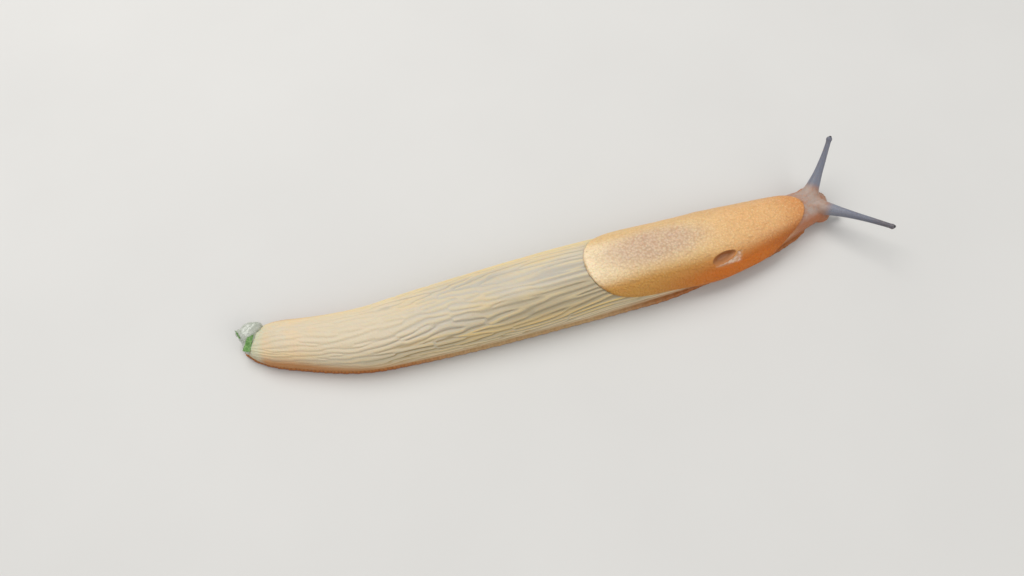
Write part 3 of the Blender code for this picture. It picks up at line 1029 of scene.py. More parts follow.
@dataclass(frozen=True)
class Head:
    """The snout with its lips and its two pairs of tentacles."""

    body: BodyForm
    lip: Place = (47.75, 2.00, 1.55)
    lip_radii: Place = (1.70, 1.55, 1.05)
    upper_lip: Place = (49.15, 0.0, 2.35)
    upper_lip_radii: Place = (0.95, 1.50, 0.62)
    mouth: Place = (49.95, 0.0, 1.45)
    upper_root_x: float = 47.1
    upper_root_angle: float = math.radians(62)
    upper_root_depth: float = 0.9
    upper_tips: tuple[Place, Place] = ((52.0, 11.05, 8.45), (55.8, -6.15, 6.1))
    upper_bows: tuple[Place, Place] = ((0.20, 0.0, 0.0), (0.0, 0.0, 0.25))
    upper_radii: tuple[tuple[float, ...], ...] = (
        (1.60, 1.08, 0.74, 0.57, 0.45, 0.40),
        (1.45, 1.00, 0.71, 0.54, 0.45, 0.39),
    )
    bulbs: tuple[float, float] = (0.51, 0.46)
    lower_root: Place = (48.30, 1.90, 1.70)
    lower_tip: Place = (50.60, 3.10, 0.90)
    lower_bow: Place = (0.0, 0.0, 0.15)
    lower_radii: tuple[float, ...] = (0.85, 0.60, 0.50, 0.44)
    lower_bulb: float = 0.46
    wrinkles: CellPattern = CellPattern(stretch=1.1, jitter=0.8, salt=41)
    wrinkle_depth: float = 0.05
    neck_groove_angles: tuple[float, float] = (-12.0, 12.0)  # in degrees from the middle of the back
    neck_groove_width: float = 3.5  # in degrees

    def beside(self, side: Side, place: Place) -> Array:
        """A place given for the left, on one side of the head."""
        return self.body.beside(place[0], side.value * place[1], place[2])

    def upper_stalk(self, side: Side) -> Stalk:
        """The eye stalk on one side.

        Args:
            side: Which side.

        Returns:
            The stalk.
        """
        pick = 0 if side is Side.LEFT else 1
        angle = QUARTER + side.value * (QUARTER - self.upper_root_angle)
        root = self.body.point(self.upper_root_x, angle, -self.upper_root_depth)
        tip = np.array(self.upper_tips[pick])
        return Stalk(side, root, tip, self.upper_bows[pick], self.upper_radii[pick], self.bulbs[pick])

    def lower_stalk(self, side: Side) -> Stalk:
        """The short feeler on one side."""
        root, tip = (self.beside(side, place) for place in (self.lower_root, self.lower_tip))
        return Stalk(side, root, tip, self.lower_bow, self.lower_radii, self.lower_bulb)

    def stalks(self) -> list[Stalk]:
        """All four tentacles."""
        return [self.upper_stalk(side) for side in Side] + [self.lower_stalk(side) for side in Side]

    def forms(self) -> list[Form]:
        """Lips and tentacles.

        Returns:
            Their closed forms.
        """
        made = [Form.ellipsoid(self.body.beside(*self.upper_lip), self.upper_lip_radii)]
        made += [Form.ellipsoid(self.beside(side, self.lip), self.lip_radii) for side in Side]
        for stalk in self.stalks():
            made += stalk.forms()
        return made

    def mask(self, spots: Spots) -> Array:
        """0 on the back, 1 on the head, over the length of the neck."""
        return ramp((spots.x - 35.5) / 8)

    def relief(self, spots: Spots) -> Array:
        """Height of the fine folds of the neck and the head.

        Args:
            spots: Places on the body.

        Returns:
            One height for each place.
        """
        walls = self.wrinkles.walls(spots.x, spots.turn * 3.5 / 0.55)
        folds = self.wrinkle_depth * (np.clip(walls / 0.5, 0, 1) - 0.5)
        for turn in self.neck_groove_angles:
            away = np.degrees(spots.angle) - 90 - turn
            folds = folds - self.wrinkle_depth * hump(away, self.neck_groove_width)
        return folds * ramp((52 - spots.x) / 1.5)


# Shader tools


class Link:
    """A shader socket in Python arithmetic: each operator adds its own Math node."""

    def __init__(self, sheet: Sheet, socket: bpy.types.NodeSocket) -> None:
        """Wraps a socket of a sheet."""
        self.sheet = sheet
        self.socket = socket

    def math(self, operation: str, *values: Link | float) -> Link:
        """A Math node on these values."""
        return self.sheet.node("ShaderNodeMath", {"operation": operation}, dict(enumerate(values)))

    def __add__(self, other: Link | float) -> Link:
        """Sum."""
        return self.math("ADD", self, other)

    __radd__ = __add__

    def __sub__(self, other: Link | float) -> Link:
        """Difference."""
        return self.math("SUBTRACT", self, other)

    def __rsub__(self, other: Link | float) -> Link:
        """Difference the other way round."""
        return self.math("SUBTRACT", other, self)

    def __mul__(self, other: Link | float) -> Link:
        """Product."""
        return self.math("MULTIPLY", self, other)

    __rmul__ = __mul__

    def step(self, low: float, high: float) -> Link:
        """A smooth step from 0 at low to 1 at high; low may be the larger."""
        inputs = {0: self, 1: low, 2: high, 3: 0.0, 4: 1.0}
        return self.sheet.node("ShaderNodeMapRange", {"interpolation_type": "SMOOTHSTEP"}, inputs)


class Sheet:
    """A material's nodes, added in plain expressions."""

    def __init__(self, name: str) -> None:
        """Makes an empty material with one Principled shader.

        Args:
            name: The material's name.
        """
        self.material = bpy.data.materials.new(name)
        self.material.use_nodes = True
        self.nodes = self.material.node_tree.nodes
        self.links = self.material.node_tree.links
        self.shader = self.nodes["Principled BSDF"]

    def put(self, socket: bpy.types.NodeSocket, value: Link | float | Colour) -> None:
        """Links or sets one socket.

        Args:
            socket: The socket.
            value: What feeds it.
        """
        if isinstance(value, Link):
            self.links.new(value.socket, socket)
        elif socket.type == "RGBA":
            socket.default_value = (*value, 1.0)
        else:
            socket.default_value = value

    def node(self, kind: str, settings: dict, inputs: dict, output: int | str = 0) -> Link:
        """Adds a node.

        Args:
            kind: The node's type.
            settings: Its own settings, which are made first.
            inputs: Values or links by socket name or number.
            output: Which output to use.

        Returns:
            The chosen output.
        """
        made = self.nodes.new(kind)
        for key, value in settings.items():
            setattr(made, key, value)
        for key, value in inputs.items():
            self.put(made.inputs[key], value)
        return Link(self, made.outputs[output])

    def mix(self, share: Link | float, first: Link | Colour, second: Link | Colour) -> Link:
        """One colour over another by a share from 0 to 1."""
        settings = {"data_type": "RGBA", "blend_type": "MIX"}
        return self.node("ShaderNodeMix", settings, {0: share, 6: first, 7: second}, 2)

    def layered(self, ground: Link | Colour, *layers: tuple[Link | float, Link | Colour]) -> Link:
        """Colours laid over one another.

        Args:
            ground: The lowest colour.
            layers: The others in order, each with its share from 0 to 1 before it.

        Returns:
            The colour that shows.
        """
        for share, colour in layers:
            ground = self.mix(share, ground, colour)
        return ground

    def blend(self, share: Link | float, first: Link | float, second: Link | float) -> Link:
        """One number over another by a share from 0 to 1."""
        return self.node("ShaderNodeMix", {"data_type": "FLOAT"}, {0: share, 2: first, 3: second})

    def map(self, name: str) -> Link:
        """A number painted on the mesh's points."""
        return self.node("ShaderNodeAttribute", {"attribute_name": name}, {}, "Fac")

    def maps(self, *names: str) -> list[Link]:
        """Several such numbers."""
        return [self.map(name) for name in names]

    def spot(self) -> Link:
        """The place on the object, in metres."""
        return self.node("ShaderNodeTexCoord", {}, {}, "Object")

    def noise(self, size: float, detail: float = 3.0) -> Link:
        """Cloudy noise with lumps of a size in millimetres."""
        inputs = {"Vector": self.spot(), "Scale": 1 / (size * MM), "Detail": detail, "Roughness": 0.55}
        return self.node("ShaderNodeTexNoise", {}, inputs, "Fac")

    def ripples(self, width: float, length: float) -> Link:
        """Noise drawn out along the slug.

        Args:
            width: The ripples' width in millimetres.
            length: Their length.

        Returns:
            Numbers round 0.5.
        """
        scale = {0: self.spot(), 1: (1 / length, 1 / width, 1 / width)}
        place = self.node("ShaderNodeVectorMath", {"operation": "MULTIPLY"}, scale)
        inputs = {"Vector": place, "Scale": 1 / MM, "Detail": 2.0, "Distortion": 1.2}
        return self.node("ShaderNodeTexNoise", {}, inputs, "Fac")

    def grains(self, size: float, feature: str = "F1") -> Link:
        """Distance to the nearest of scattered points, with a spacing in millimetres."""
        inputs = {"Vector": self.spot(), "Scale": 1 / (size * MM)}
        return self.node("ShaderNodeTexVoronoi", {"feature": feature}, inputs, "Distance")

    def finish(self, values: dict, bump: Link | float = 0.0, depth: float = 0.0) -> bpy.types.Material:
        """Fills the shader.

        Args:
            values: The shader's sockets by name.
            bump: Height in millimetres.
            depth: How strongly the height shows, 0 for a flat surface.

        Returns:
            The finished material.
        """
        if depth > 0:
            inputs = {"Strength": depth, "Distance": MM, "Height": bump}
            values = {**values, "Normal": self.node("ShaderNodeBump", {}, inputs, "Normal")}
        for key, value in values.items():
            self.put(self.shader.inputs[key], value)
        return self.material


@dataclass
class Coat:
    """What one kind of skin gives the shader: colour, roughness and fine height."""

    colour: Link
    roughness: Link
    height: Link

    def under(self, other: Coat, share: Link) -> Coat:
        """This coat with another laid over it.

        Args:
            other: The upper coat.
            share: How much of it shows, from 0 to 1.

        Returns:
            The two as one coat.
        """
        sheet = self.colour.sheet
        return Coat(
            sheet.mix(share, self.colour, other.colour),
            sheet.blend(share, self.roughness, other.roughness),
            sheet.blend(share, self.height, other.height),
        )


@dataclass(frozen=True)
class BackFinish:
    """Cream tubercles with ochre crests and grey-blue grooves, browner and darker low on the flanks, partly
    as painted shade; painted light on the far half, painted shade on the near half and under the shield's
    rim.
    """

    crest_top: Colour = paint(212, 194, 152)
    crest_flank: Colour = paint(214, 186, 126)
    crest_low: Colour = paint(226, 212, 180)
    slope_top: Colour = paint(200, 190, 170)
    slope_flank: Colour = paint(188, 176, 148)
    groove_top: Colour = paint(182, 172, 154)
    groove_flank: Colour = paint(164, 142, 100)
    grey: Colour = paint(178, 172, 160)
    gold: Colour = paint(214, 186, 132)
    tail: Colour = paint(206, 192, 166)
    peach: Colour = paint(224, 192, 148)
    # painted light: paler cream for the far half of the back, which faces the key lamp
    far: Colour = paint(236, 213, 164)
    shade: Colour = paint(160, 144, 110)
    film: Colour = paint(202, 203, 176)
    band_tail: Colour = paint(184, 122, 62)
    band_middle: Colour = paint(186, 152, 104)
    band_front: Colour = paint(178, 118, 62)

    def coat(self, sheet: Sheet) -> Coat:
        """Paints the back from the maps on its points.

        Args:
            sheet: Where the nodes go.

        Returns:
            The back's coat.
        """
        lift, along, ridge, streak, far = sheet.maps("lift", "along", "ridge", "streak", "far_side")
        # the flanks browner and darker: partly their own colour, partly painted shade falling off towards the
        # ground
        flank = lift.step(0.93, 0.35)
        tail = along.step(-14.0, -30.0)
        crest = sheet.layered(
            self.crest_top,
            (flank, self.crest_flank),
            (tail * 0.7, self.tail),
            # crests paler low on the flanks: partly their own cream, partly painted highlights
            (lift.step(0.35, -0.15), self.crest_low),
        )
        dusk = along.step(-24.0, -15.0) * along.step(-1.0, -9.0) * lift.step(0.55, 0.90)
        slope = sheet.layered(
            self.slope_top,
            (flank, self.slope_flank),
            (tail * (1 - 0.5 * flank), self.tail),
            (streak.step(0.50, 0.85) * (1 - tail) * (1 - 0.6 * flank) * 0.75, self.grey),
            (dusk * 0.45, self.grey),
        )
        gilt = sheet.map("tone").step(0.25, 0.75) * 0.6 + 0.4
        # painted shade: mask for the near half of the back, away from the key lamp
        near = along.step(-20.0, -2.0) * lift.step(0.995, 0.93) * lift.step(0.25, 0.60) * (1 - far)
        band = sheet.layered(
            self.band_tail,
            (along.step(-38.0, -16.0), self.band_middle),
            (along.step(2.0, 22.0), self.band_front),
        )
        band_top = lift + 0.28 * along.step(-34.0, -20.0) - 0.34 * along.step(-30.0, -42.0)
        colour = sheet.layered(
            sheet.mix(flank, self.groove_top, self.groove_flank),
            (ridge.step(0.0, 0.50), slope),
            # painted shade darkening the near half of the back
            (near * 0.65, self.shade),
            (ridge.step(0.58, 0.90) * gilt * (0.50 + 0.5 * flank), crest),
            (streak.step(0.40, 0.10) * 0.40, self.gold),
            (along.step(-34.0, -42.0) * sheet.noise(2.5).step(0.40, 0.65) * 0.35, self.peach),
            # painted light brightening the far half of the back
            (far * lift.step(0.96, 0.45) * 0.45, self.far),
            (band_top.step(0.38, -0.30) * 0.9, band),
            # painted shade: a darker strip on the back just outside the shield's overhanging rim
            (sheet.map("inset").step(-0.5, -0.05) * 0.2, self.groove_flank),
            (along.step(-45.4, -47.2) * 0.75, self.film),
        )
        fine = sheet.noise(0.35, 4.0)
        return Coat(colour, 0.40 + 0.16 * fine, 0.05 * fine + 0.03 * sheet.grains(0.30))


@dataclass(frozen=True)
class ShieldFinish:
    """Orange-yellow, finely grained hide: a pinkish grey patch on top, deeper orange low and in front, partly
    painted shade; painted highlights on the grains, the rear top and the pore's membrane, painted shade in
    the pore.
    """

    top: Colour = paint(230, 198, 146)
    # pale cream for the top of the rear end, partly a painted highlight
    rear: Colour = paint(240, 220, 182)
    side: Colour = paint(192, 140, 64)
    low: Colour = paint(194, 104, 8)
    front: Colour = paint(227, 179, 122)
    patch: Colour = paint(204, 178, 156)
    groove: Colour = paint(160, 104, 56)
    rim: Colour = paint(190, 130, 60)
    # dark brown for a line along the lower front rim, and for painted shade low on the near front
    hem: Colour = paint(126, 66, 22)
    pore: Colour = paint(182, 124, 76)
    pore_shade: Colour = paint(150, 92, 48)
    membrane: Colour = paint(200, 164, 134)
    streaks: Colour = paint(232, 214, 196)
    glint: Colour = paint(250, 224, 172)

    def coat(self, sheet: Sheet) -> Coat:
        """Paints the shield from the maps on its points.

        Args:
            sheet: Where the nodes go.

        Returns:
            The shield's coat.
        """
        lift, along, inset, patch = sheet.maps("lift", "along", "inset", "patch")
        pore, membrane, far_side = sheet.maps("pore", "membrane", "far_side")
        # painted shade: the darker side, low and hem colours go mostly on the near side, away from the key
        # lamp; the far, lit side keeps the paler top
        near = 1 - 0.75 * far_side
        low = (lift - 0.12 * along.step(27.0, 39.0)).step(0.92, 0.30) * along.step(12.0, 28.0)
        cloud = sheet.noise(2.6)
        cells = sheet.grains(0.40)
        # painted highlights: light dots on the tops of the grains
        glint = cells.step(0.32, 0.08) * 0.38 * lift.step(0.5, 0.95) * along.step(6.0, 18.0)
        wrinkles = sheet.ripples(0.50, 1.3)
        hem = inset.step(0.70, 0.0) * along.step(14.0, 26.0) * lift.step(0.5, 0.0) * 0.6
        colour = sheet.layered(
            self.top,
            (lift.step(0.99, 0.68) * near, self.side),
            # the top of the rear end paler: partly the shield's own cream, partly a painted highlight
            (along.step(19.0, 7.0) * lift.step(0.76, 0.98), self.rear),
            (along.step(22.0, 36.0) * lift.step(0.4, 0.9), self.front),
            (low * near, self.low),
            # the rounded front end deeper orange: partly its own colour, partly painted shade
            (along.step(38.0, 44.8) * 0.50, self.low),
            # painted shade on the low front of the near side
            (lift.step(0.92, 0.52) * along.step(33.0, 43.0) * 0.45 * near, self.hem),
            (patch * (0.65 + 0.5 * cloud) * 0.85, self.patch),
            (glint, self.glint),
            (wrinkles.step(0.50, 0.36) * 0.12 * lift.step(0.5, 0.9), self.groove),
            (cells.step(0.35, 0.75) * (0.12 + 0.16 * patch), self.groove),
            (sheet.grains(1.9).step(0.10, 0.05) * lift.step(0.35, 0.7) * 0.35, self.groove),
            (inset.step(0.50, 0.0) * 0.45, self.rim),
            (hem, self.hem),
            # the membrane with whiter streaks: partly its own pale colour, partly painted highlights
            (
                membrane * (0.45 + 0.50 * cloud),
                sheet.mix(sheet.noise(0.5).step(0.45, 0.62), self.membrane, self.streaks),
            ),
            # painted shade: the pore's upper inner side darker, its lit lower side in the pore colour
            (pore, sheet.mix(sheet.map("pore_lit"), self.pore_shade, self.pore)),
        )
        height = (0.22 * (1 - cells) + 0.20 * wrinkles) * (1 - pore) * (1 - 0.7 * membrane)
        return Coat(colour, 0.42 + 0.10 * cloud, height)


@dataclass(frozen=True)
class FootFinish:
    """Orange fringe with dark upright lines, and a pale sole with a greyer middle."""

    upper: Colour = paint(184, 122, 64)
    fringe: Colour = paint(166, 100, 50)
    hem: Colour = paint(120, 66, 34)
    line: Colour = paint(118, 64, 32)
    middle: Colour = paint(186, 154, 110)
    front: Colour = paint(158, 90, 30)
    sole: Colour = paint(216, 200, 166)
    sole_middle: Colour = paint(186, 178, 158)

    def coat(self, sheet: Sheet) -> Coat:
        """Paints the foot from the maps on its points.

        Args:
            sheet: Where the nodes go.

        Returns:
            The foot's coat.
        """
        rise, along, lines, sole, middle = sheet.maps("rise", "along", "lines", "sole", "sole_middle")
        wander = sheet.noise(1.6)
        colour = sheet.layered(
            self.fringe,
            (rise.step(0.42, 0.75), self.upper),
            (along.step(-30.0, -12.0), self.middle),
            (along.step(4.0, 24.0) * 0.95, self.front),
            (rise.step(0.45, 0.10) * 0.6, self.hem),
            (lines * (0.12 + 0.23 * along.step(-18.0, -32.0)), self.line),
            (sole, sheet.mix(middle * (0.4 + 0.5 * wander), self.sole, self.sole_middle)),
        )
        return Coat(colour, 0.36 + 0.14 * wander, 0.04 * sheet.noise(0.3))


@dataclass(frozen=True)
class HeadFinish:
    """Thin, slightly see-through skin: whitish grey on top, warm brown in front and on the sides; painted
    shade beside the shield's rim and on the far eye stalk.
    """

    top: Colour = paint(170, 150, 138)
    side: Colour = paint(170, 108, 72)
    front: Colour = paint(160, 116, 88)
    mouth: Colour = paint(112, 66, 52)
    stalk_root: Colour = paint(138, 141, 152)
    stalk: Colour = paint(119, 122, 134)
    shaded_far_stalk: Colour = paint(114, 117, 130)
    stalk_tip: Colour = paint(104, 100, 104)
    core: Colour = paint(90, 92, 106)

    def coat(self, sheet: Sheet) -> Coat:
        """Paints the head and the tentacles from the maps on their points.

        Args:
            sheet: Where the nodes go.

        Returns:
            The head's coat.
        """
        lift, along, inset, reach = sheet.maps("lift", "along", "inset", "reach")
        cloud = sheet.noise(1.1)
        grain = sheet.grains(0.17)
        stalk = sheet.layered(
            self.stalk_root,
            (reach.step(0.15, 0.6), self.stalk),
            (reach.step(0.6, 0.95), self.stalk_tip),
            (grain.step(0.35, 0.8) * 0.35, self.core),
            # painted shade: the stalk on the far side darker
            (sheet.map("far_side") * 0.75, self.shaded_far_stalk),
        )
        colour = sheet.layered(
            self.top,
            (lift.step(0.85, 0.35), self.side),
            (along.step(47.0, 49.0) * (0.7 + 0.5 * cloud), self.front),
            # painted shade: darker brown on the neck next to the shield's front rim
            (inset.step(-0.7, -0.05) * 0.6, self.side),
            (cloud.step(0.42, 0.7) * 0.45, self.side),
            (sheet.map("mouth"), self.mouth),
            (sheet.map("stalk"), stalk),
        )
        return Coat(colour, 0.34 + 0.12 * cloud, 0.05 * grain + 0.03 * cloud)


@dataclass(frozen=True)
class SkinFinish:
    """The slug's whole moist skin: back, shield, foot and head laid over one another by their masks."""

    back: BackFinish = BackFinish()
    shield: ShieldFinish = ShieldFinish()
    foot: FootFinish = FootFinish()
    head: HeadFinish = HeadFinish()

    def material(self) -> bpy.types.Material:
        """Makes the material.

        Returns:
            The skin's material.
        """
        sheet = Sheet("Slug skin")
        coat = self.back.coat(sheet)
        for name in ("head", "foot", "shield"):
            coat = coat.under(getattr(self, name).coat(sheet), sheet.map(name))
        values = {
            "Base Color": coat.colour,
            "Roughness": coat.roughness,
            "Subsurface Weight": 0.28,
            "Subsurface Radius": (1.0, 0.55, 0.32),
            "Subsurface Scale": 0.9 * MM,
            "Specular IOR Level": 0.30,
            "Coat Weight": 0.16 * sheet.map("lift").step(0.0, 0.9),
            "Coat Roughness": 0.28,
            "Coat IOR": 1.36,
        }
        return sheet.finish(values, coat.height, 0.75)


@dataclass(frozen=True)
class EyeFinish:
    """Glossy near-black with a faint brown bloom."""

    dark: Colour = paint(26, 24, 28)
    bloom: Colour = paint(64, 52, 46)

    def material(self) -> bpy.types.Material:
        """Makes the material.

        Returns:
            The eye's material.
        """
        sheet = Sheet("Eye")
        colour = sheet.mix(sheet.noise(0.12).step(0.5, 0.8), self.dark, self.bloom)
        values = {"Base Color": colour, "Roughness": 0.16, "Coat Weight": 0.6, "Coat Roughness": 0.08}
        return sheet.finish(values, sheet.noise(0.2) * 0.02, 0.3)


@dataclass(frozen=True)
class SlimeFinish:
    """Cloudy whitish jelly."""

    clear: Colour = paint(192, 198, 184)
    cloudy: Colour = paint(214, 217, 208)

    def material(self) -> bpy.types.Material:
        """Makes the material.

        Returns:
            The slime's material.
        """
        sheet = Sheet("Slime")
        cloud = sheet.noise(0.9).step(0.35, 0.7)
        values = {
            "Base Color": sheet.mix(cloud, self.clear, self.cloudy),
            "Roughness": 0.14 + 0.22 * cloud,
            "Transmission Weight": 0.35,
            "IOR": 1.34,
            "Coat Weight": 0.5,
            "Coat Roughness": 0.12,
        }
        return sheet.finish(values, 0.08 * sheet.noise(0.8), 0.5)


@dataclass(frozen=True)
class LeafFinish:
    """Fresh green with paler veins."""

    blade: Colour = paint(92, 140, 66)
    vein: Colour = paint(150, 184, 116)

    def material(self) -> bpy.types.Material:
        """Makes the material.

        Returns:
            The leaf's material.
        """
        sheet = Sheet("Leaf scrap")
        vein = sheet.grains(0.5, "DISTANCE_TO_EDGE").step(0.10, 0.02)
        colour = sheet.mix(vein * 0.7, self.blade, self.vein)
        values = {"Base Color": colour, "Roughness": 0.4 + 0.2 * sheet.noise(0.4), "Coat Weight": 0.3}
        return sheet.finish(values, 0.05 * vein, 0.5)


@dataclass(frozen=True)
class FloorFinish:
    """Plain pale matt floor."""

    pale: Colour = paint(214, 213, 210)
    shade: Colour = paint(206, 205, 202)

    def material(self) -> bpy.types.Material:
        """Makes the material.

        Returns:
            The floor's material.
        """
        sheet = Sheet("Floor")
        colour = sheet.mix(sheet.noise(40.0), self.pale, self.shade)
        return sheet.finish({"Base Color": colour, "Roughness": 0.75})


# The pieces


@dataclass(frozen=True)
class SlugSkin:
    """The one skin over all the slug's flesh."""

    body: BodyForm
    trunk: Trunk
    shield: Shield
    foot: Foot
    head: Head
    finish: SkinFinish = SkinFinish()
    voxel: float = 0.1
    quick_voxel: float = 0.15
    even_rounds: int = 3
    root_rounds: int = 40
    patch_x: float = 18.0
    patch_angle: float = math.radians(95)
    patch_radii: tuple[float, float] = (8.6, 3.1)

    def melt(self) -> bpy.types.Mesh:
        """Melts the parts together and smooths the roots of the tentacles and the lips into the head.

        Returns:
            The bare skin, in millimetres.
        """
        forms = [self.trunk.form(self.foot), self.shield.form(), self.foot.form(), *self.head.forms()]
        mesh = Form.joined(forms).fused("slug_skin", self.voxel)
        points = relaxed(mesh, 0.5, self.even_rounds)
        write_points(mesh, points)
        x, z = points[:, 0], points[:, 2]
        lips = ramp((x - 46.8) / 1.2) * ramp((4.2 - z) / 0.8) * ramp((51.5 - x) / 0.6)
        weight = 0.5 * lips
        near = np.flatnonzero(x > 42)
        for stalk in self.head.stalks():
            share, _ = stalk.reach(points[near])
            distance = np.linalg.norm(points[near] - stalk.root, axis=1)
            root = ramp((stalk.radii[0] * 1.5 + 0.5 - distance) / 0.9) * (share < 0.3)
            weight[near] = np.maximum(weight[near], root)
        points = relaxed(mesh, weight * 0.6, self.root_rounds)
        points[:, 2] = np.maximum(points[:, 2], 0)
        write_points(mesh, points)
        return mesh

    def sculpt(self, mesh: bpy.types.Mesh) -> dict[str, Array]:
        """Raises the relief and works out the maps that the finish reads.

        Args:
            mesh: The melted skin, in millimetres; its points are moved.

        Returns:
            One number for each point under each map's name.
        """
        points = read_points(mesh)
        spots = self.body.locate(points)
        shield = self.shield.mask(spots)
        stalk, reach = self.stalk_maps(points)
        foot = self.foot.mask(spots) * (1 - shield)
        head = self.head.mask(spots)
        ridge, tone = self.trunk.tubercles(spots)
        strength = self.trunk.strength(spots)
        length, distance = self.foot.edge_frame(spots, points)
        inset = self.shield.inset(spots.x, spots.angle)
        back = strength * (ridge * (self.trunk.crest + self.trunk.groove) - self.trunk.groove)
        tuck = -0.05 * hump(np.minimum(inset + 0.12, 0), 0.28) * (inset < 0.2) * (inset > -1.2)
        relief = (1 - shield) * (1 - foot) * (1 - stalk) * (back + tuck + head * self.head.relief(spots))
        relief += shield * self.shield.relief(spots)
        relief += foot * (1 - stalk) * self.foot.relief(length, distance, spots)
        points = raised(mesh, relief, 0)
        write_points(mesh, points)
        pore = ramp((1.06 - self.shield.pore_reach(spots)) / 0.14)
        patch = np.hypot(
            (spots.x - self.patch_x) / self.patch_radii[0],
            (spots.angle - self.patch_angle) * BACK_RADIUS / self.patch_radii[1],
        )
        bottom = ramp((0.10 - spots.z) / 0.06)
        mouth = np.linalg.norm(points - self.body.beside(*self.head.mouth), axis=1)
        return {
            "ridge": 1 - strength * (1 - ridge),
            "tone": 0.5 + (tone - 0.5) * np.minimum(strength * 1.5, 1),
            "lift": np.sin(spots.angle),
            "along": spots.x,
            "rise": spots.z,
            "inset": inset,
            "shield": shield,
            "pore": pore * shield,
            "pore_lit": ramp((0.35 - self.shield.pore_frame(spots)[1] / self.shield.pore_radii[1]) / 0.9),
            "membrane": self.shield.cleft(spots) * (1 - pore) * shield,
            "streak": 0.5 + 0.5 * soft_noise(spots.x / 11, spots.round_back / 1.7, 61),
            "patch": ramp((1.40 - patch) / 0.95),
            "foot": foot * (1 - stalk),
            "lines": self.foot.lines(length) * ramp((0.9 - distance) / 0.4),
            "sole": bottom * ramp((distance - 0.5) / 0.4),
            "sole_middle": ramp((2.4 - np.abs(spots.side)) / 0.8) * (0.7 + 0.3 * np.cos(spots.x * 1.6)),
            "head": np.maximum(head, stalk),
            "mouth": ramp((0.75 - mouth) / 0.4),
            "stalk": stalk,
            "reach": reach,
            "far_side": ramp(spots.side / 1.5),
        }

    def stalk_maps(self, points: Array) -> tuple[Array, Array]:
        """Where the tentacles are.

        Args:
            points: The skin's points.

        Returns:
            1 on a tentacle and 0 off it, and how far along it from 0 to 1.
        """
        mask = np.zeros(len(points))
        along = np.zeros(len(points))
        near = np.flatnonzero(points[:, 0] > 44)
        for stalk in self.head.stalks():
            share, distance = stalk.reach(points[near])
            own = ramp((stalk.radius(share) * 1.25 + 0.25 - distance) / 0.2) * ramp((share - 0.10) / 0.14)
            better = own > mask[near]
            mask[near] = np.where(better, own, mask[near])
            along[near] = np.where(better, share, along[near])
        return mask, along

    def build(self) -> bpy.types.Object:
        """Makes the skin, dressed, in the place of all nodes of flesh.

        Returns:
            The piece.
        """
        mesh = self.melt()
        for name, values in self.sculpt(mesh).items():
            attribute = mesh.attributes.new(name, "FLOAT", "POINT")
            attribute.data.foreach_set("value", values.astype(np.float32))
        write_points(mesh, read_points(mesh) * MM)
        made = dressed("slug_skin", mesh, self.finish.material())
        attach(made, "root")
        flesh = [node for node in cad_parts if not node.startswith(("eye_", "tail_slime"))]
        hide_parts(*flesh)
        return made


@dataclass(frozen=True)
class Eye:
    """One eye: a small dark bead set into the round end of an upper tentacle."""

    stalk: Stalk
    radius: float = 0.27
    sunk: float = 0.62  # how far its middle stands inside the round end, in radii
    forward: float = 0.75
    look: Place = (0.25, 0.10, 0.55)
    finish: EyeFinish = EyeFinish()

    def build(self) -> bpy.types.Object:
        """Makes the bead on the outer, upper side of the tip.

        Returns:
            The piece.
        """
        side = self.stalk.side
        path = self.stalk.path()
        aside = np.array(self.look) * (1, side.value, 1)
        look = unit(unit(path[-1] - path[-4]) * self.forward + aside)
        centre = self.stalk.tip + look * (self.stalk.bulb - self.radius * self.sunk)
        form = Form.ellipsoid(centre, (self.radius,) * 3, sides=32)
        name = "eye_bead_" + side.name.lower()
        made = dressed(name, form.mesh(name, MM), self.finish.material())
        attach(made, "root")
        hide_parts("eye_" + side.name.lower())
        return made


@dataclass(frozen=True)
class TailSlime:
    """The plug of slime over the gland at the tail's end."""

    lobes: tuple[tuple[Place, Place], ...] = (
        ((-48.5, 5.2, 2.6), (1.6, 1.9, 1.5)),
        ((-49.75, 5.95, 2.5), (0.9, 0.8, 0.85)),
        ((-48.1, 6.3, 2.6), (1.6, 1.0, 1.2)),
        ((-47.2, 6.0, 2.9), (1.2, 1.0, 1.1)),
        ((-48.95, 3.55, 2.1), (0.95, 1.45, 1.15)),
    )
    voxel: float = 0.1
    rounding: float = 0.6
    rounds: int = 12
    lump: float = 0.10
    lowest: float = 1.1
    finish: SlimeFinish = SlimeFinish()

    def build(self) -> bpy.types.Object:
        """Makes the plug as a few melted, uneven lobes.

        Returns:
            The piece.
        """
        forms = [Form.ellipsoid(centre, radii) for centre, radii in self.lobes]
        mesh = Form.joined(forms).fused("slime_plug", self.voxel)
        points = relaxed(mesh, self.rounding, self.rounds)
        write_points(mesh, points)
        lumps = soft_noise(points[:, 0] / 0.9 + points[:, 2], points[:, 1] / 0.8, 51)
        write_points(mesh, raised(mesh, self.lump * lumps, self.lowest) * MM)
        made = dressed("slime_plug", mesh, self.finish.material())
        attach(made, "root")
        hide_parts("tail_slime")
        return made


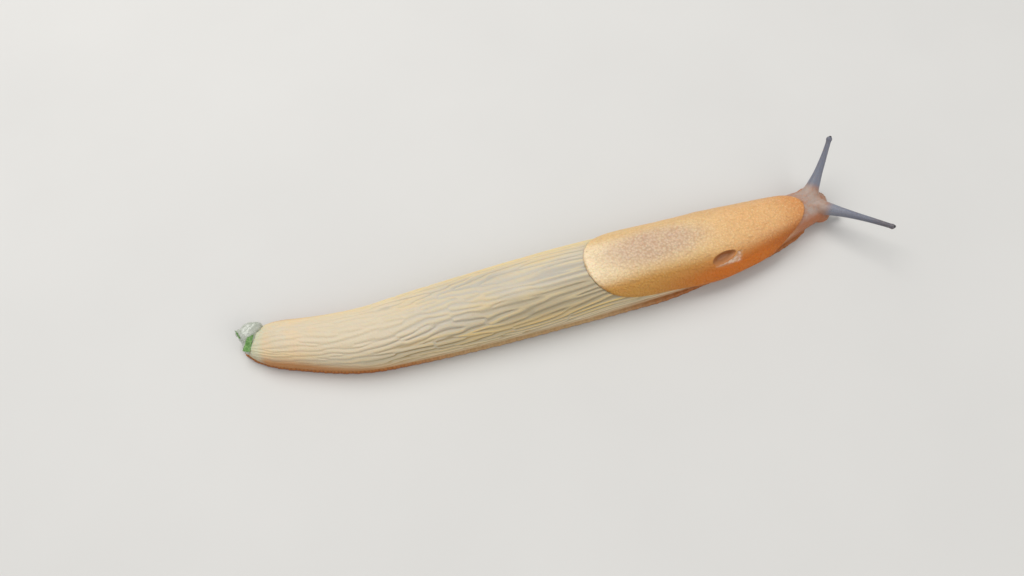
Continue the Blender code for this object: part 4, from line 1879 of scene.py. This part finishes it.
@dataclass(frozen=True)
class LeafScrap:
    """A torn scrap of leaf stuck in the slime."""

    name: str
    corners: tuple[Place, ...]
    thickness: float = 0.10
    steps: int = 14
    curl: float = 0.16
    wave: float = 0.07
    crease: float = math.radians(50)
    finish: LeafFinish = LeafFinish()

    def build(self) -> bpy.types.Object:
        """Makes a thin curled blade between its four corners.

        Returns:
            The piece.
        """
        a, b, c, d = (np.array(corner) for corner in self.corners)
        u = np.linspace(0, 1, self.steps)[:, None, None]
        v = np.linspace(0, 1, self.steps)[None, :, None]
        blade = (a * (1 - u) + b * u) * (1 - v) + (d * (1 - u) + c * u) * v
        normal = unit(np.cross(b - a, d - a))
        curl = self.curl * np.sin(math.pi * u) + self.wave * np.sin(3.3 * math.pi * v + 2 * u)
        top, low = (blade + normal * (curl + half) for half in (self.thickness / 2, -self.thickness / 2))
        rings = np.concatenate([top, low[:, ::-1]], axis=1)
        made = dressed(self.name, Form.loft(rings).mesh(self.name, MM), self.finish.material())
        made.data.set_sharp_from_angle(angle=self.crease)
        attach(made, "root")
        return made


@dataclass(frozen=True)
class Lamp:
    """One soft lamp; its place and its size are in metres, its power in watts."""

    name: str
    place: Place
    size: float
    power: float
    colour: Colour = (1.0, 1.0, 1.0)

    def build(self) -> None:
        """Sets the lamp up, turned to the slug's middle."""
        light = bpy.data.lights.new(self.name, "AREA")
        light.shape = "DISK"
        light.size = self.size
        light.energy = self.power
        light.color = self.colour
        aim(place_object(self.name, light), Vector(self.place), Vector())


@dataclass(frozen=True)
class Studio:
    """Pale floor, soft light and the camera at the photo's angle."""

    lamps: tuple[Lamp, ...] = (
        Lamp("key", (-0.14, 0.30, 0.50), 0.50, 2.7, (1.0, 0.985, 0.96)),
        Lamp("fill", (0.35, -0.45, 0.34), 0.60, 1.5, (1.0, 0.975, 0.94)),
    )
    sky: Colour = (0.91, 0.92, 0.94)
    sky_strength: float = 0.50
    floor_half: float = 1.5
    floor_drop: float = 0.02
    camera_place: Place = (-15.578, -55.30, 120.231)
    camera_target: Place = (-5.32, 2.965, 0.0)
    camera_roll: float = math.radians(-5.35)
    lens: float = 28.27
    sensor_width: float = 36.0
    nearest_seen: float = 0.005
    floor_finish: FloorFinish = FloorFinish()

    def floor(self) -> None:
        """Lays the floor, just under the sole."""
        half, z = self.floor_half, -self.floor_drop * MM
        mesh = bpy.data.meshes.new("floor")
        corners = [(-half, -half, z), (half, -half, z), (half, half, z), (-half, half, z)]
        mesh.from_pydata(corners, [], [(0, 1, 2, 3)])
        mesh.materials.append(self.floor_finish.material())
        place_object("floor", mesh)

    def camera(self) -> None:
        """Sets the camera over the slug, a little to its right, as the photo was taken."""
        data = bpy.data.cameras.new("camera")
        data.lens = self.lens
        data.sensor_width = self.sensor_width
        data.clip_start = self.nearest_seen
        made = place_object("camera", data)
        aim(made, Vector(self.camera_place) * MM, Vector(self.camera_target) * MM, self.camera_roll)
        bpy.context.scene.camera = made

    def build(self) -> None:
        """Sets everything up."""
        self.floor()
        self.camera()
        for lamp in self.lamps:
            lamp.build()
        world = bpy.data.worlds.new("studio")
        world.use_nodes = True
        background = world.node_tree.nodes["Background"]
        background.inputs["Color"].default_value = (*self.sky, 1.0)
        background.inputs["Strength"].default_value = self.sky_strength
        bpy.context.scene.world = world
        bpy.context.scene.view_settings.view_transform = "Standard"


def main() -> None:
    """Builds and dresses every piece, then sets up the studio."""
    logging.basicConfig(level=logging.INFO, format="%(message)s")
    body = BodyForm()
    skin = SlugSkin(body, Trunk(body), Shield(body), Foot(body), Head(body))
    made = [skin.build()]
    made += [Eye(skin.head.upper_stalk(side)).build() for side in Side]
    made.append(TailSlime().build())
    scrap = ((-49.68, 2.63, 2.75), (-48.54, 2.24, 2.65), (-47.36, 4.53, 3.75), (-48.37, 4.15, 3.95))
    sliver = ((-50.46, 6.40, 3.05), (-50.18, 6.25, 3.15), (-49.51, 4.46, 3.70), (-49.79, 4.54, 3.60))
    made += [LeafScrap("leaf_scrap", scrap).build(), LeafScrap("leaf_sliver", sliver).build()]
    for piece in made:
        LOG.info("built %s: %d faces", piece.name, len(piece.data.polygons))
    Studio().build()


if __name__ == "__main__":
    main()
